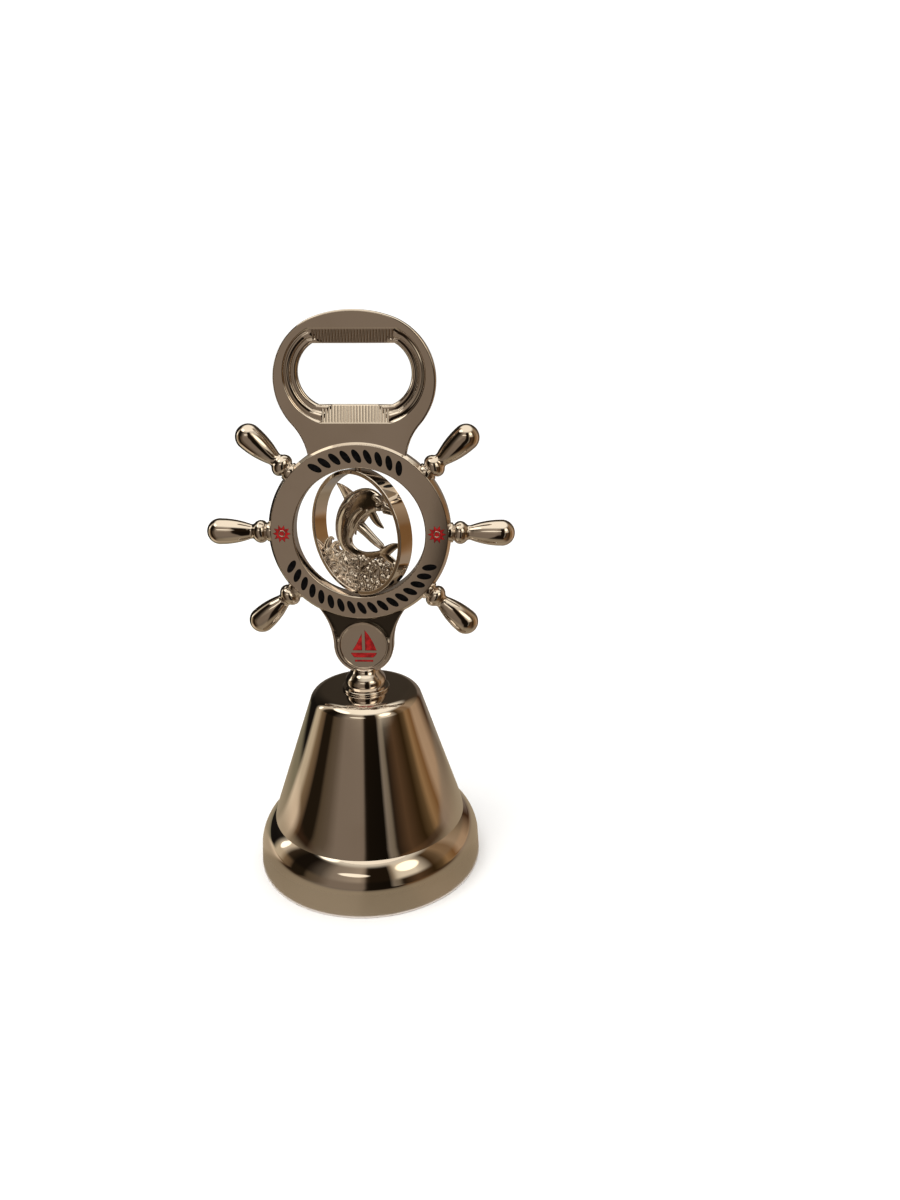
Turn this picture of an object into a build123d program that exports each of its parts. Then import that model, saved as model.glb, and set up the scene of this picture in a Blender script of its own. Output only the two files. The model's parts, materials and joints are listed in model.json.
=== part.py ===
from build123d import *
import math
import os

# Souvenir table bell with a bottle opener on its handle.
# The bell stands on its rim at Z = 0, on the Z axis. The flat handle above it is a ship's
# wheel whose faces look along -Y (front) and +Y (back). A medallion spins inside the wheel
# about the Z axis, and a clapper hangs inside the bell. All sizes are in millimetres.

# ------------------------------------------------------------------ driving dimensions
# Bell
bell_base_radius = 27.8
band_height = 6.2
band_top_radius = 27.4
lip_bulge_radius = 26.0
lip_bulge_z = 9.9
lip_top_radius = 23.7
lip_top_z = 12.6
cone_foot_z = 16.2
cone_half_angle = 18.5
shoulder_radius = 3.3
crown_flat_radius = 10.4
crown_z = 45.6
bell_wall = 1.6
crown_thickness = 2.2
mouth_radius = 25.6
mouth_draft = 0.3
mouth_straight_z = 3.72

# Wheel
wheel_z = 84.4
wheel_face_radius = 20.2
wheel_outer_radius = 20.9
wheel_inner_radius = 15.0
wheel_half_thickness = 2.2
wheel_bevel_depth = 0.9
wheel_inner_bevel = 0.3

# Spokes, measured along the spoke from the wheel's centre
spoke_root = 20.3
spoke_tip = 35.4
spoke_bulb_radius = 3.0
spoke_swell_at = 28.8
spoke_swell_radius = 2.7
spoke_waist_at = 25.1
spoke_waist_radius = 1.7
spoke_bead_at = 23.1
spoke_bead_radius = 2.65
spoke_bead_end_at = 24.4
spoke_bead_end_radius = 1.95
spoke_neck_at = 21.5
spoke_neck_radius = 1.85
spoke_raised_angle = 41.7

# Opener head
opener_top_z = 132.9
opener_half_width = 17.7
opener_widest_z = 118.2
opener_top_radius = 25.0
opener_waist_half_width = 10.8
opener_waist_z = 100.0
opener_half_thickness = 1.6
bite_lip_half_thickness = 0.5
mouth_half_width = 12.45
mouth_top_z = 126.0
mouth_bottom_z = 113.1
mouth_top_half_width = 8.9
mouth_bottom_half_width = 8.1
recess_half_width = 15.5
recess_top_z = 129.1
recess_bottom_z = 109.2
recess_top_half_width = 9.5
recess_bottom_half_width = 7.7

# Tongue between the wheel and the neck
boss_z = 57.0
boss_radius = 6.0
boss_half_thickness = 2.1
boss_rim_width = 0.5
boss_face_depth = 0.3
tongue_half_width = 7.1
tongue_flare_radius = 16.0
tongue_half_thickness = 1.7
tongue_border = 1.0
tongue_into_wheel = 2.0
pocket_depth = 0.8
pocket_boss_overlap = 0.2
hull_corners = [(-3.1, -1.7), (3.2, -1.7), (2.2, -2.9), (-2.3, -2.9)]
main_sail_corners = [(0.35, 4.1), (0.35, -1.1), (3.1, -1.1)]
jib_corners = [(-0.35, 3.2), (-0.35, -1.1), (-2.7, -1.1)]
water_line_z = -3.75
water_line_length = 4.4
water_line_width = 0.5

# Neck
flange_radius = 5.7
flange_thickness = 0.7
neck_bead_radius = 4.95
neck_bead_z = 47.4
neck_bead_foot_radius = 4.6
neck_waist_radius = 3.4
neck_waist_z = 50.1
neck_shoulder = (3.1, 50.95)
neck_top_radius = 2.2
neck_top_z = 51.4

# Enamel
enamel_pocket_depth = 0.4
enamel_thickness = 0.34
band_mid_radius = 17.7
strand_length = 3.4
strand_width = 1.5
strand_lean = 32.0
strand_step = 8.0
top_strands = 9
bottom_strands = 17
sun_ray_radius = 2.15
sun_body_radius = 1.3
sun_rays = 10
sun_ring_outer = 0.82
sun_ring_inner = 0.5

# Medallion
medallion_turn = -38.0
hoop_outer_radius = 14.5
hoop_inner_radius = 13.5
hoop_half_thickness = 2.0
dolphin_half_thickness = 1.3
wave_half_thickness = 1.5
hoop_fit = 0.2
wave_top = -6.0
# Each crest: how far right, its middle's height above the wave top, its radius.
wave_crests = [(-9.4, 1.2, 2.7), (-5.2, 0.2, 2.0), (-0.8, -0.8, 2.0), (3.6, -0.9, 2.0), (8.4, -0.9, 2.4)]
dolphin_beak = (10.8, 6.1)
dolphin_back = [
    (8.2, 8.9), (3.6, 10.7), (-2.2, 9.6), (-6.6, 5.7), (-8.4, 0.6), (-7.5, -4.3), (-3.0, -7.0), (2.4, -6.8),
]
dolphin_belly = [(7.2, 5.4), (4.4, 4.8), (1.4, 2.8), (-0.8, 0.4), (-1.9, -1.8), (-0.8, -3.7), (1.8, -4.4)]
dolphin_stock = (7.2, -3.6)
dorsal_corners = [(-1.0, 8.2), (-7.4, 10.8), (-6.2, 4.0)]
flipper_corners = [(4.0, 6.0), (8.0, 1.8), (5.8, 1.6), (1.0, 3.8)]
far_flipper_corners = [
    (-1.4, 3.0), (3.2, 0.9), (7.6, -1.6), (8.6, -3.4), (6.0, -3.0), (1.6, -1.4), (-1.6, -0.6),
]
fluke_corners = [(5.2, -5.4), (13.0, -6.4), (9.6, -3.6), (13.6, -0.6), (5.6, -3.0)]
pivot_radius = 0.7
pivot_depth_in_wheel = 1.8
pin_end_gap = 0.1
pin_bore_gap = 0.3
running_clearance = 0.05
seat_clearance = 0.02

# Bell fixing and clapper
screw_radius = 2.0
screw_top_z = 49.6
screw_clearance = 0.1
screw_end_gap = 0.2
washer_radius = 5.0
washer_thickness = 0.8
screw_flange_radius = 3.4
screw_flange_thickness = 1.2
eye_ring_radius = 2.5
eye_wire_radius = 0.9
link_ring_radius = 3.0
link_wire_radius = 0.7
loop_ring_radius = 2.4
loop_wire_radius = 0.8
hanging_gap = 0.1
clapper_rod_radius = 1.0
ball_radius = 5.2
ball_z = 10.5

# Levels that follow from the driving dimensions
crown_underside_z = crown_z - crown_thickness
washer_bottom_z = crown_underside_z - washer_thickness
screw_flange_bottom_z = washer_bottom_z - screw_flange_thickness
eye_z = screw_flange_bottom_z - eye_ring_radius - 0.5 * eye_wire_radius
link_pivot_z = eye_z - eye_ring_radius + eye_wire_radius + link_wire_radius + hanging_gap
link_z = link_pivot_z - link_ring_radius
clapper_pivot_z = link_z - link_ring_radius + link_wire_radius + loop_wire_radius + hanging_gap
loop_z = clapper_pivot_z - loop_ring_radius


# ------------------------------------------------------------------ helpers
def slab(sketch, y_front, y_back):
    """Extrude a sketch drawn in X and Z so that it fills y_front to y_back."""
    return Pos(0, y_back, 0) * extrude(Plane.XZ * sketch, y_back - y_front)


def turned_back(shape):
    """The same shape on the back face, as it looks to someone who walks round the bell."""
    return Rot(0, 0, 180) * shape


def closed_face(*edges):
    """A face in X and Z (drawn as X and Y) inside a closed run of edges."""
    return make_face(Wire(list(edges)))


def polygon(corners):
    return make_face(Polyline(*corners, close=True))


def revolved(face):
    """Turn a face drawn in radius and height round the Z axis."""
    return revolve(Plane.XZ * face, Axis.Z, 360)


def ring(major, minor, axis_dir, z):
    """A wire ring centred on the Z axis, with its own axis along axis_dir."""
    return Plane(origin=(0, 0, z), z_dir=axis_dir) * Torus(major, minor)


def cylinder_up(radius, z_low, z_high):
    return Pos(0, 0, (z_low + z_high) / 2) * Cylinder(radius, z_high - z_low)


# ------------------------------------------------------------------ bell
def cone_radius(z):
    """Outer radius of the bell's straight cone at height z."""
    angle = math.radians(cone_half_angle)
    top_radius = crown_flat_radius + shoulder_radius * math.cos(angle)
    top_z = crown_z - shoulder_radius * (1 - math.sin(angle))
    return top_radius + (top_z - z) * math.tan(angle)


def make_bell_shell():
    angle = math.radians(cone_half_angle)
    shoulder_z = crown_z - shoulder_radius
    cone_top_z = shoulder_z + shoulder_radius * math.sin(angle)
    mid_angle = (angle + math.pi / 2) / 2
    shoulder_mid = (
        crown_flat_radius + shoulder_radius * math.cos(mid_angle),
        shoulder_z + shoulder_radius * math.sin(mid_angle),
    )
    cone_top = (cone_radius(cone_top_z), cone_top_z)
    cone_foot = (cone_radius(cone_foot_z), cone_foot_z)
    lip_top = (lip_top_radius, lip_top_z)
    band_top = (band_top_radius, band_height)
    lip_bulge = (lip_bulge_radius, lip_bulge_z)
    base = (bell_base_radius, 0)
    mouth = (mouth_radius, 0)
    inner_wall = bell_wall / math.cos(angle)
    inner_foot = (cone_radius(lip_top_z) - inner_wall, lip_top_z)
    inner_band = (mouth_radius - mouth_draft, mouth_straight_z)
    inner_top = (cone_radius(crown_underside_z) - inner_wall, crown_underside_z)
    bore = screw_radius + screw_clearance
    down_the_cone = (math.sin(angle), -math.cos(angle))
    profile = closed_face(
        Line((bore, crown_z), (crown_flat_radius, crown_z)),
        ThreePointArc((crown_flat_radius, crown_z), shoulder_mid, cone_top),
        Line(cone_top, cone_foot),
        TangentArc(cone_foot, lip_top, tangent=down_the_cone),
        ThreePointArc(lip_top, lip_bulge, band_top),
        Line(band_top, base),
        Line(base, mouth),
        Line(mouth, inner_band),
        Line(inner_band, inner_foot),
        Line(inner_foot, inner_top),
        Line(inner_top, (bore, crown_underside_z)),
        Line((bore, crown_underside_z), (bore, crown_z)),
    )
    return revolved(profile)


def make_crown_washer():
    washer = cylinder_up(washer_radius, washer_bottom_z, crown_underside_z)
    return washer - cylinder_up(screw_radius + screw_clearance, washer_bottom_z, crown_underside_z)


def make_eye_screw():
    shank = cylinder_up(screw_radius, washer_bottom_z - 0.5 * screw_flange_thickness, screw_top_z)
    flange = cylinder_up(screw_flange_radius, screw_flange_bottom_z, washer_bottom_z)
    return shank + flange + ring(eye_ring_radius, eye_wire_radius, (0, 1, 0), eye_z)


# ------------------------------------------------------------------ clapper
def make_link_ring():
    return ring(link_ring_radius, link_wire_radius, (1, 0, 0), link_z)


def make_clapper_ball():
    ball = Pos(0, 0, ball_z) * Sphere(ball_radius)
    return ball - cylinder_up(clapper_rod_radius + seat_clearance, ball_z, ball_z + 2 * ball_radius)


def make_clapper_rod():
    loop = ring(loop_ring_radius, loop_wire_radius, (0, 1, 0), loop_z)
    return loop + cylinder_up(clapper_rod_radius, ball_z, loop_z - loop_ring_radius)


# ------------------------------------------------------------------ wheel
def wheel_section(*inner_edge):
    """Half section of the wheel, as radius and depth: its outer wall and the given inner edge."""
    half = wheel_half_thickness
    shoulder = half - wheel_bevel_depth
    outer_wall = [
        (wheel_face_radius, -half),
        (wheel_outer_radius, -shoulder),
        (wheel_outer_radius, shoulder),
        (wheel_face_radius, half),
    ]
    return polygon([*outer_wall, *inner_edge])


def turned_wheel(section):
    """Turn a section into a round solid that stands upright at the wheel's centre."""
    return Pos(0, 0, wheel_z) * Rot(90, 0, 0) * revolved(section)


def wheel_disc():
    """The wheel without its opening, which its neighbours are cut to fit."""
    half = wheel_half_thickness
    return turned_wheel(wheel_section((0, half), (0, -half)))


def wheel_blank():
    half = wheel_half_thickness
    bevel = wheel_inner_bevel
    inner_edge = [
        (wheel_inner_radius + bevel, half),
        (wheel_inner_radius, half - bevel),
        (wheel_inner_radius, bevel - half),
        (wheel_inner_radius + bevel, -half),
    ]
    return turned_wheel(wheel_section(*inner_edge))


def on_wheel(sketch, radius, angle):
    """Put a small sketch on the wheel's face, turned to follow the rim."""
    return Pos(0, wheel_z) * Rot(0, 0, angle) * Pos(radius, 0) * sketch


def rope_strands():
    """Leaning strands of a rope border, along the top and the bottom of the rim."""
    strand = Rot(0, 0, strand_lean) * Ellipse(strand_length / 2, strand_width / 2)
    strands = Sketch()
    for centre, count in ((90, top_strands), (270, bottom_strands)):
        for number in range(count):
            angle = centre + (number - (count - 1) / 2) * strand_step
            strands += on_wheel(strand, band_mid_radius, angle)
    return strands


def sun(angle):
    """A small rayed sun with a plain ring left standing round its centre."""
    points = []
    for number in range(2 * sun_rays):
        radius = sun_ray_radius if number % 2 == 0 else sun_body_radius
        turn = math.pi * number / sun_rays
        points.append((radius * math.cos(turn), radius * math.sin(turn)))
    bare_ring = Circle(sun_ring_outer) - Circle(sun_ring_inner)
    return on_wheel(polygon(points) - bare_ring, band_mid_radius, angle)


def inlay_pocket(sketch, face_y):
    return slab(sketch, face_y, face_y + enamel_pocket_depth)


def inlay(sketch, face_y):
    floor_y = face_y + enamel_pocket_depth
    return slab(sketch, floor_y - enamel_thickness, floor_y)


def make_wheel_rim():
    rim = wheel_blank()
    decoration = rope_strands() + sun(0) + sun(180)
    pockets = inlay_pocket(decoration, -wheel_half_thickness)
    bore_reach = wheel_inner_radius + pivot_depth_in_wheel
    pivot_bore = cylinder_up(pivot_radius + running_clearance, wheel_z - bore_reach, wheel_z + bore_reach)
    rim = rim - pockets - turned_back(pockets) - pivot_bore
    socket_length = wheel_outer_radius - spoke_root + 1
    socket = Pos(spoke_root + socket_length / 2, 0, wheel_z) * Rot(0, 90, 0) * Cylinder(
        spoke_neck_radius + seat_clearance, socket_length
    )
    for angle in spoke_angles().values():
        rim -= round_the_wheel(socket, angle)
    return rim


def spoke_angles():
    raised = spoke_raised_angle
    return {
        "spoke_right": 0,
        "spoke_upper_right": raised,
        "spoke_upper_left": 180 - raised,
        "spoke_left": 180,
        "spoke_lower_left": 180 + raised,
        "spoke_lower_right": -raised,
    }


def round_the_wheel(shape, angle):
    """Turn a shape about the wheel's centre, anticlockwise as seen from the front."""
    return shape.rotate(Axis((0, 0, wheel_z), (0, -1, 0)), angle)


def make_spoke():
    """A turned handle along +X, from its root in the rim to its round tip."""
    bulb_start = (spoke_tip - spoke_bulb_radius, spoke_bulb_radius)
    waist = (spoke_waist_at, spoke_waist_radius)
    swell = (spoke_swell_at, spoke_swell_radius)
    bead_end = (spoke_bead_end_at, spoke_bead_end_radius)
    bead_start = (spoke_neck_at, spoke_neck_radius)
    bead_top = (spoke_bead_at, spoke_bead_radius)
    profile = closed_face(
        Line((spoke_root, 0), (spoke_root, spoke_neck_radius)),
        Line((spoke_root, spoke_neck_radius), bead_start),
        Spline(bead_start, bead_top, bead_end, tangents=[(0.3, 1), (0.3, -1)]),
        Line(bead_end, waist),
        Spline(waist, swell, bulb_start, tangents=[(1, 0.35), (1, 0)]),
        CenterArc((spoke_tip - spoke_bulb_radius, 0), spoke_bulb_radius, 90, -90),
        Line((spoke_tip, 0), (spoke_root, 0)),
    )
    return Pos(0, 0, wheel_z) * revolve(Plane.XZ * profile, Axis.X, 360)


def make_spokes():
    spoke = make_spoke()
    return {name: round_the_wheel(spoke, angle) for name, angle in spoke_angles().items()}


# ------------------------------------------------------------------ opener head
def mirrored(point):
    return (-point[0], point[1])


def opener_outline():
    """Oval head whose sides sweep in to a waist above the wheel."""
    top_centre_z = opener_top_z - opener_top_radius
    drop = opener_widest_z - top_centre_z
    # The side arc touches the top arc from inside and is upright at the widest point.
    side_radius = (opener_top_radius**2 - opener_half_width**2 - drop**2) / (
        2 * (opener_top_radius - opener_half_width)
    )
    side_x = opener_half_width - side_radius
    stretch = opener_top_radius / (opener_top_radius - side_radius)
    shoulder = (side_x * stretch, top_centre_z + drop * stretch)
    # The waist arc touches the side arc from outside and is upright at the waist.
    fall = opener_widest_z - opener_waist_z
    reach = opener_waist_half_width - side_x
    waist_radius = (reach**2 + fall**2 - side_radius**2) / (2 * (side_radius - reach))
    share = side_radius / (side_radius + waist_radius)
    hip = (side_x + share * (reach + waist_radius), opener_widest_z - share * fall)
    side = (opener_half_width, opener_widest_z)
    waist = (opener_waist_half_width, opener_waist_z)
    foot = (opener_waist_half_width, wheel_z)
    return closed_face(
        ThreePointArc(mirrored(shoulder), (0, opener_top_z), shoulder),
        ThreePointArc(shoulder, side, hip),
        TangentArc(waist, hip, tangent=(0, 1)),
        Line(waist, foot),
        Line(foot, mirrored(foot)),
        Line(mirrored(foot), mirrored(waist)),
        TangentArc(mirrored(waist), mirrored(hip), tangent=(0, 1)),
        ThreePointArc(mirrored(hip), mirrored(side), mirrored(shoulder)),
    )


def mouth_outline(half_width, top_z, top_half_width, bottom_z, bottom_half_width):
    """A slot with flat bars above and below and rounded lobes at its sides."""
    mid_z = (top_z + bottom_z) / 2
    return closed_face(
        Line((-top_half_width, top_z), (top_half_width, top_z)),
        ThreePointArc((top_half_width, top_z), (half_width, mid_z), (bottom_half_width, bottom_z)),
        Line((bottom_half_width, bottom_z), (-bottom_half_width, bottom_z)),
        ThreePointArc((-bottom_half_width, bottom_z), (-half_width, mid_z), (-top_half_width, top_z)),
    )


def make_opener_head():
    plate = slab(opener_outline(), -opener_half_thickness, opener_half_thickness)
    mouth = mouth_outline(
        mouth_half_width, mouth_top_z, mouth_top_half_width, mouth_bottom_z, mouth_bottom_half_width
    )
    recess = mouth_outline(
        recess_half_width, recess_top_z, recess_top_half_width, recess_bottom_z, recess_bottom_half_width
    )
    at_face = Pos(0, -opener_half_thickness, 0) * (Plane.XZ * recess)
    at_lip = Pos(0, -bite_lip_half_thickness, 0) * (Plane.XZ * mouth)
    bevel = loft([at_face, at_lip], ruled=True)
    through = slab(mouth, -opener_half_thickness, opener_half_thickness)
    return plate - through - bevel - turned_back(bevel) - wheel_disc()


# ------------------------------------------------------------------ tongue and neck
def tongue_outline():
    """Rounded foot round the boss, flaring up to the wheel."""
    foot = Pos(0, boss_z) * Circle(tongue_half_width)
    top_z = wheel_z - math.sqrt(wheel_outer_radius**2 - tongue_half_width**2) + tongue_into_wheel
    flare_x = tongue_half_width + tongue_flare_radius
    reach = flare_x - math.sqrt(tongue_flare_radius**2 - (top_z - boss_z) ** 2)
    sides = Pos(0, (top_z + boss_z) / 2) * Rectangle(2 * reach, top_z - boss_z)
    for side in (-1, 1):
        sides -= Pos(side * flare_x, boss_z) * Circle(tongue_flare_radius)
    return foot + sides


def emblem():
    """A plain little sailing boat: hull, two sails and a line of water."""
    boat = polygon(hull_corners) + polygon(main_sail_corners) + polygon(jib_corners)
    water = Pos(0, water_line_z) * Rectangle(water_line_length, water_line_width)
    return Pos(0, boss_z) * (boat + water)


def make_tongue():
    outline = tongue_outline()
    plate = slab(outline, -tongue_half_thickness, tongue_half_thickness)
    inside = offset(outline, -tongue_border)
    above_boss = Pos(0, (boss_z + wheel_z) / 2) * Rectangle(2 * wheel_outer_radius, wheel_z - boss_z)
    pocket_sketch = (inside & above_boss) - Pos(0, boss_z) * Circle(boss_radius - pocket_boss_overlap)
    pocket = slab(pocket_sketch, -tongue_half_thickness, -tongue_half_thickness + pocket_depth)
    boss_disc = Pos(0, boss_z) * Circle(boss_radius)
    boss = slab(boss_disc, -boss_half_thickness, boss_half_thickness)
    face_disc = Pos(0, boss_z) * Circle(boss_radius - boss_rim_width)
    dish = slab(face_disc, -boss_half_thickness, -boss_half_thickness + boss_face_depth)
    picture = inlay_pocket(emblem(), -boss_half_thickness + boss_face_depth)
    front_cuts = dish + picture
    body = plate - pocket - turned_back(pocket) + boss
    return body - front_cuts - turned_back(front_cuts) - wheel_disc()


def make_neck_collar(tongue):
    """Flange and bead round the screw, cut to fit the tongue's foot."""
    flange_top = crown_z + flange_thickness
    bead_foot = (neck_bead_foot_radius, flange_top)
    bead_side = (neck_bead_radius, neck_bead_z)
    waist = (neck_waist_radius, neck_waist_z)
    top = (neck_top_radius, neck_top_z)
    bore = screw_radius + seat_clearance
    bore_end_z = screw_top_z + screw_end_gap
    profile = closed_face(
        Line((0, bore_end_z), (0, neck_top_z)),
        Line((0, neck_top_z), top),
        ThreePointArc(top, neck_shoulder, waist),
        ThreePointArc(waist, bead_side, bead_foot),
        Line(bead_foot, (flange_radius, flange_top)),
        Line((flange_radius, flange_top), (flange_radius, crown_z)),
        Line((flange_radius, crown_z), (bore, crown_z)),
        Line((bore, crown_z), (bore, bore_end_z)),
        Line((bore, bore_end_z), (0, bore_end_z)),
    )
    return revolved(profile) - tongue


# ------------------------------------------------------------------ medallion
def in_medallion(shape):
    """Lift a shape made at the origin to the wheel's centre and turn it to its rest angle."""
    return Pos(0, 0, wheel_z) * Rot(0, 0, medallion_turn) * shape


def wave_outline():
    """Lower part of the hoop's opening, with a row of wave crests along its top."""
    below = Pos(0, wave_top - hoop_inner_radius) * Rectangle(2 * hoop_inner_radius, 2 * hoop_inner_radius)
    pool = Circle(hoop_inner_radius + hoop_fit) & below
    for crest_x, crest_rise, crest_radius in wave_crests:
        pool += Pos(crest_x, wave_top + crest_rise) * Circle(crest_radius)
    return pool


def dolphin_outline():
    """A leaping dolphin: beak to the upper right, arched back, flukes to the lower right."""
    back = Spline(dolphin_beak, *dolphin_back, dolphin_stock)
    belly = Spline(dolphin_beak, *dolphin_belly, dolphin_stock)
    flippers = polygon(flipper_corners) + polygon(far_flipper_corners)
    return closed_face(back, belly) + flippers + polygon(dorsal_corners) + polygon(fluke_corners)


def centred_slab(sketch, half_thickness):
    return slab(sketch, -half_thickness, half_thickness)


def make_medallion():
    hoop = centred_slab(Circle(hoop_outer_radius) - Circle(hoop_inner_radius), hoop_half_thickness)
    hoop -= cylinder_up(pivot_radius + seat_clearance, -hoop_outer_radius, hoop_outer_radius)
    opening = centred_slab(Circle(hoop_inner_radius), hoop_half_thickness)
    dolphin = centred_slab(dolphin_outline(), dolphin_half_thickness) & opening
    dolphin_shadow = centred_slab(dolphin_outline(), hoop_half_thickness)
    waves = (centred_slab(wave_outline(), wave_half_thickness) & opening) - dolphin_shadow
    pin_start = hoop_inner_radius + pin_end_gap
    pin_end = wheel_inner_radius + pivot_depth_in_wheel - pin_bore_gap
    upper_pin = cylinder_up(pivot_radius, pin_start, pin_end)
    lower_pin = cylinder_up(pivot_radius, -pin_end, -pin_start)
    return {
        "medallion_hoop": in_medallion(hoop),
        "dolphin": in_medallion(dolphin),
        "waves": in_medallion(waves),
        "upper_pivot_pin": in_medallion(upper_pin),
        "lower_pivot_pin": in_medallion(lower_pin),
    }


# ------------------------------------------------------------------ enamel
def make_enamel():
    rim_face = -wheel_half_thickness
    boss_face = -boss_half_thickness + boss_face_depth
    fronts = {
        "rope_enamel": inlay(rope_strands(), rim_face),
        "right_sun_enamel": inlay(sun(0), rim_face),
        "left_sun_enamel": inlay(sun(180), rim_face),
        "boat_enamel": inlay(emblem(), boss_face),
    }
    pieces = {}
    for name, piece in fronts.items():
        pieces["front_" + name] = piece
        pieces["back_" + name] = turned_back(piece)
    return pieces


# ------------------------------------------------------------------ write the parts
tongue = make_tongue()
nodes = {
    "opener_head": make_opener_head(),
    "wheel_rim": make_wheel_rim(),
    "tongue": tongue,
    "neck_collar": make_neck_collar(tongue),
    "bell_shell": make_bell_shell(),
    "crown_washer": make_crown_washer(),
    "eye_screw": make_eye_screw(),
    "clapper_link": make_link_ring(),
    "clapper_rod": make_clapper_rod(),
    "clapper_ball": make_clapper_ball(),
}
nodes.update(make_spokes())
nodes.update(make_medallion())
nodes.update(make_enamel())

os.makedirs("parts", exist_ok=True)
for name, shape in nodes.items():
    export_step(shape, "parts/" + name + ".step")
    print(name, round(shape.volume, 2), "mm3")
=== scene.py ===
# %% [markdown]
# # A souvenir bell whose handle is a ship's wheel and a bottle opener
# The real thing is a small die-cast bell, plated in bright nickel. Its flat handle is a ship's wheel
# with six turned spokes, a spinning medallion inside it and a bottle opener on top. Everything that
# can be seen on it is a reflection, so two things decide the look: surfaces that are smooth enough
# to carry a clean reflection, and a room worth reflecting. The CAD model already settles every size
# and place. This script builds the fine surfaces on that frame, piece by piece.

# %% Load the CAD frame
import json
import math

import bmesh
import bpy
from mathutils import Matrix, Vector

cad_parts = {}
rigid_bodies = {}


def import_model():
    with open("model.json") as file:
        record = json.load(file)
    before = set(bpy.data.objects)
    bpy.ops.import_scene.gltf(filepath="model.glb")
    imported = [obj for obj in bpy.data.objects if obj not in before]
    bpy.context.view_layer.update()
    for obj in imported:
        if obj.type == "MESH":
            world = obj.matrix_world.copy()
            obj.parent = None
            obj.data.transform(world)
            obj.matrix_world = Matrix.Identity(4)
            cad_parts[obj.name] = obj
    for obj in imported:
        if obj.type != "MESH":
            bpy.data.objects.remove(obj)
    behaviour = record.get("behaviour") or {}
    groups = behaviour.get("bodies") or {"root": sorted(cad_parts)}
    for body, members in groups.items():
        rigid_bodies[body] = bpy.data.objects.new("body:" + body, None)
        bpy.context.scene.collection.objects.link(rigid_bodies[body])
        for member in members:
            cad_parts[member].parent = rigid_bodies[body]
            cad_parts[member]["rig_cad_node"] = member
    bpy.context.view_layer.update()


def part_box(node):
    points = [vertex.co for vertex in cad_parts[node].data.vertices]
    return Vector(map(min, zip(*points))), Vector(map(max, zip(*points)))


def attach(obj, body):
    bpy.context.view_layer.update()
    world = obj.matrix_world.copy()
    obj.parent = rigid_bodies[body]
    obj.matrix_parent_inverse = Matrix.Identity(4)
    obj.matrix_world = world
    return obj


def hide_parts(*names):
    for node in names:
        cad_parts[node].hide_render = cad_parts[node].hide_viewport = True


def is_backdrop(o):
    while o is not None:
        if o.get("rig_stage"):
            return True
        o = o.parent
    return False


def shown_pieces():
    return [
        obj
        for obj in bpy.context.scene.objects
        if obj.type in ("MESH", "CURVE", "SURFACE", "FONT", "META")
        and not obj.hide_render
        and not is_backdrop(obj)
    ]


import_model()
MM = 0.001

# %% [markdown]
# ## Sizes that the pieces share
# A node's box gives where it is, so most places come from the frame itself and stay right if the
# CAD changes. Lengths below are in millimetres, because that is how a maker thinks about a thing of
# this size; they become metres only when a mesh is made.


# %% Read sizes from the frame
def span(node, axis):
    """Lowest and highest value of a CAD node along an axis, in millimetres."""
    low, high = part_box(node)
    return low[axis] / MM, high[axis] / MM


X, Y, Z = 0, 1, 2
rim_outer = (span("wheel_rim", Z)[1] - span("wheel_rim", Z)[0]) / 2
wheel_z = sum(span("wheel_rim", Z)) / 2
rim_face = span("wheel_rim", Y)[1]
rim_inner = 15.0
crown_z = span("bell_shell", Z)[1]
bell_foot = span("bell_shell", X)[1]
opener_top = span("opener_head", Z)[1]
opener_half_width = span("opener_head", X)[1]
opener_face = span("opener_head", Y)[1]
spoke_tip = span("spoke_right", X)[1]
print("wheel centre", round(wheel_z, 2), "rim radius", round(rim_outer, 2), "crown", round(crown_z, 2))

# %% [markdown]
# ## Drawing profiles
# Turned and moulded metal is easiest to describe by its section: straight runs, arcs and small
# rounded corners. A few helpers make such sections. A mirror shows every fault of a mesh, and the
# commonest one is a long flat face whose normals are bent by the rounding beside it. So each
# straight run also gets a guard point close to both of its ends, which keeps the bend out of it.


# %% Section helpers
GUARD = 0.04


def arc_points(centre, radius, start_deg, end_deg, steps):
    """Points along an arc, both ends included."""
    points = []
    for number in range(steps + 1):
        angle = math.radians(start_deg + (end_deg - start_deg) * number / steps)
        points.append((centre[0] + radius * math.cos(angle), centre[1] + radius * math.sin(angle)))
    return points


def circle_through(a, b, c):
    """Centre and radius of the circle through three points."""
    ax, ay = a
    bx, by = b
    cx, cy = c
    scale = 2 * (ax * (by - cy) + bx * (cy - ay) + cx * (ay - by))
    a2, b2, c2 = ax * ax + ay * ay, bx * bx + by * by, cx * cx + cy * cy
    x = (a2 * (by - cy) + b2 * (cy - ay) + c2 * (ay - by)) / scale
    y = (a2 * (cx - bx) + b2 * (ax - cx) + c2 * (bx - ax)) / scale
    return (x, y), math.dist((x, y), a)


def arc_through(a, b, c, steps):
    """Points along the arc from a to c that passes through b."""
    centre, radius = circle_through(a, b, c)
    angles = [math.degrees(math.atan2(p[1] - centre[1], p[0] - centre[0])) for p in (a, b, c)]
    start = angles[0]
    turn = (angles[2] - start) % 360
    if (angles[1] - start) % 360 > turn:
        turn -= 360
    return arc_points(centre, radius, start, start + turn, steps)


def smooth_through(points, steps):
    """A smooth curve through the given points, as a run of short straights."""
    curve = []
    padded = [points[0]] + list(points) + [points[-1]]
    for p0, p1, p2, p3 in zip(padded, padded[1:], padded[2:], padded[3:]):
        for number in range(steps):
            t = number / steps
            curve.append(tuple(
                0.5 * (2 * b + (c - a) * t + (2 * a - 5 * b + 4 * c - d) * t**2
                       + (3 * b - a - 3 * c + d) * t**3)
                for a, b, c, d in zip(p0, p1, p2, p3)
            ))
    return curve + [tuple(points[-1])]


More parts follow.
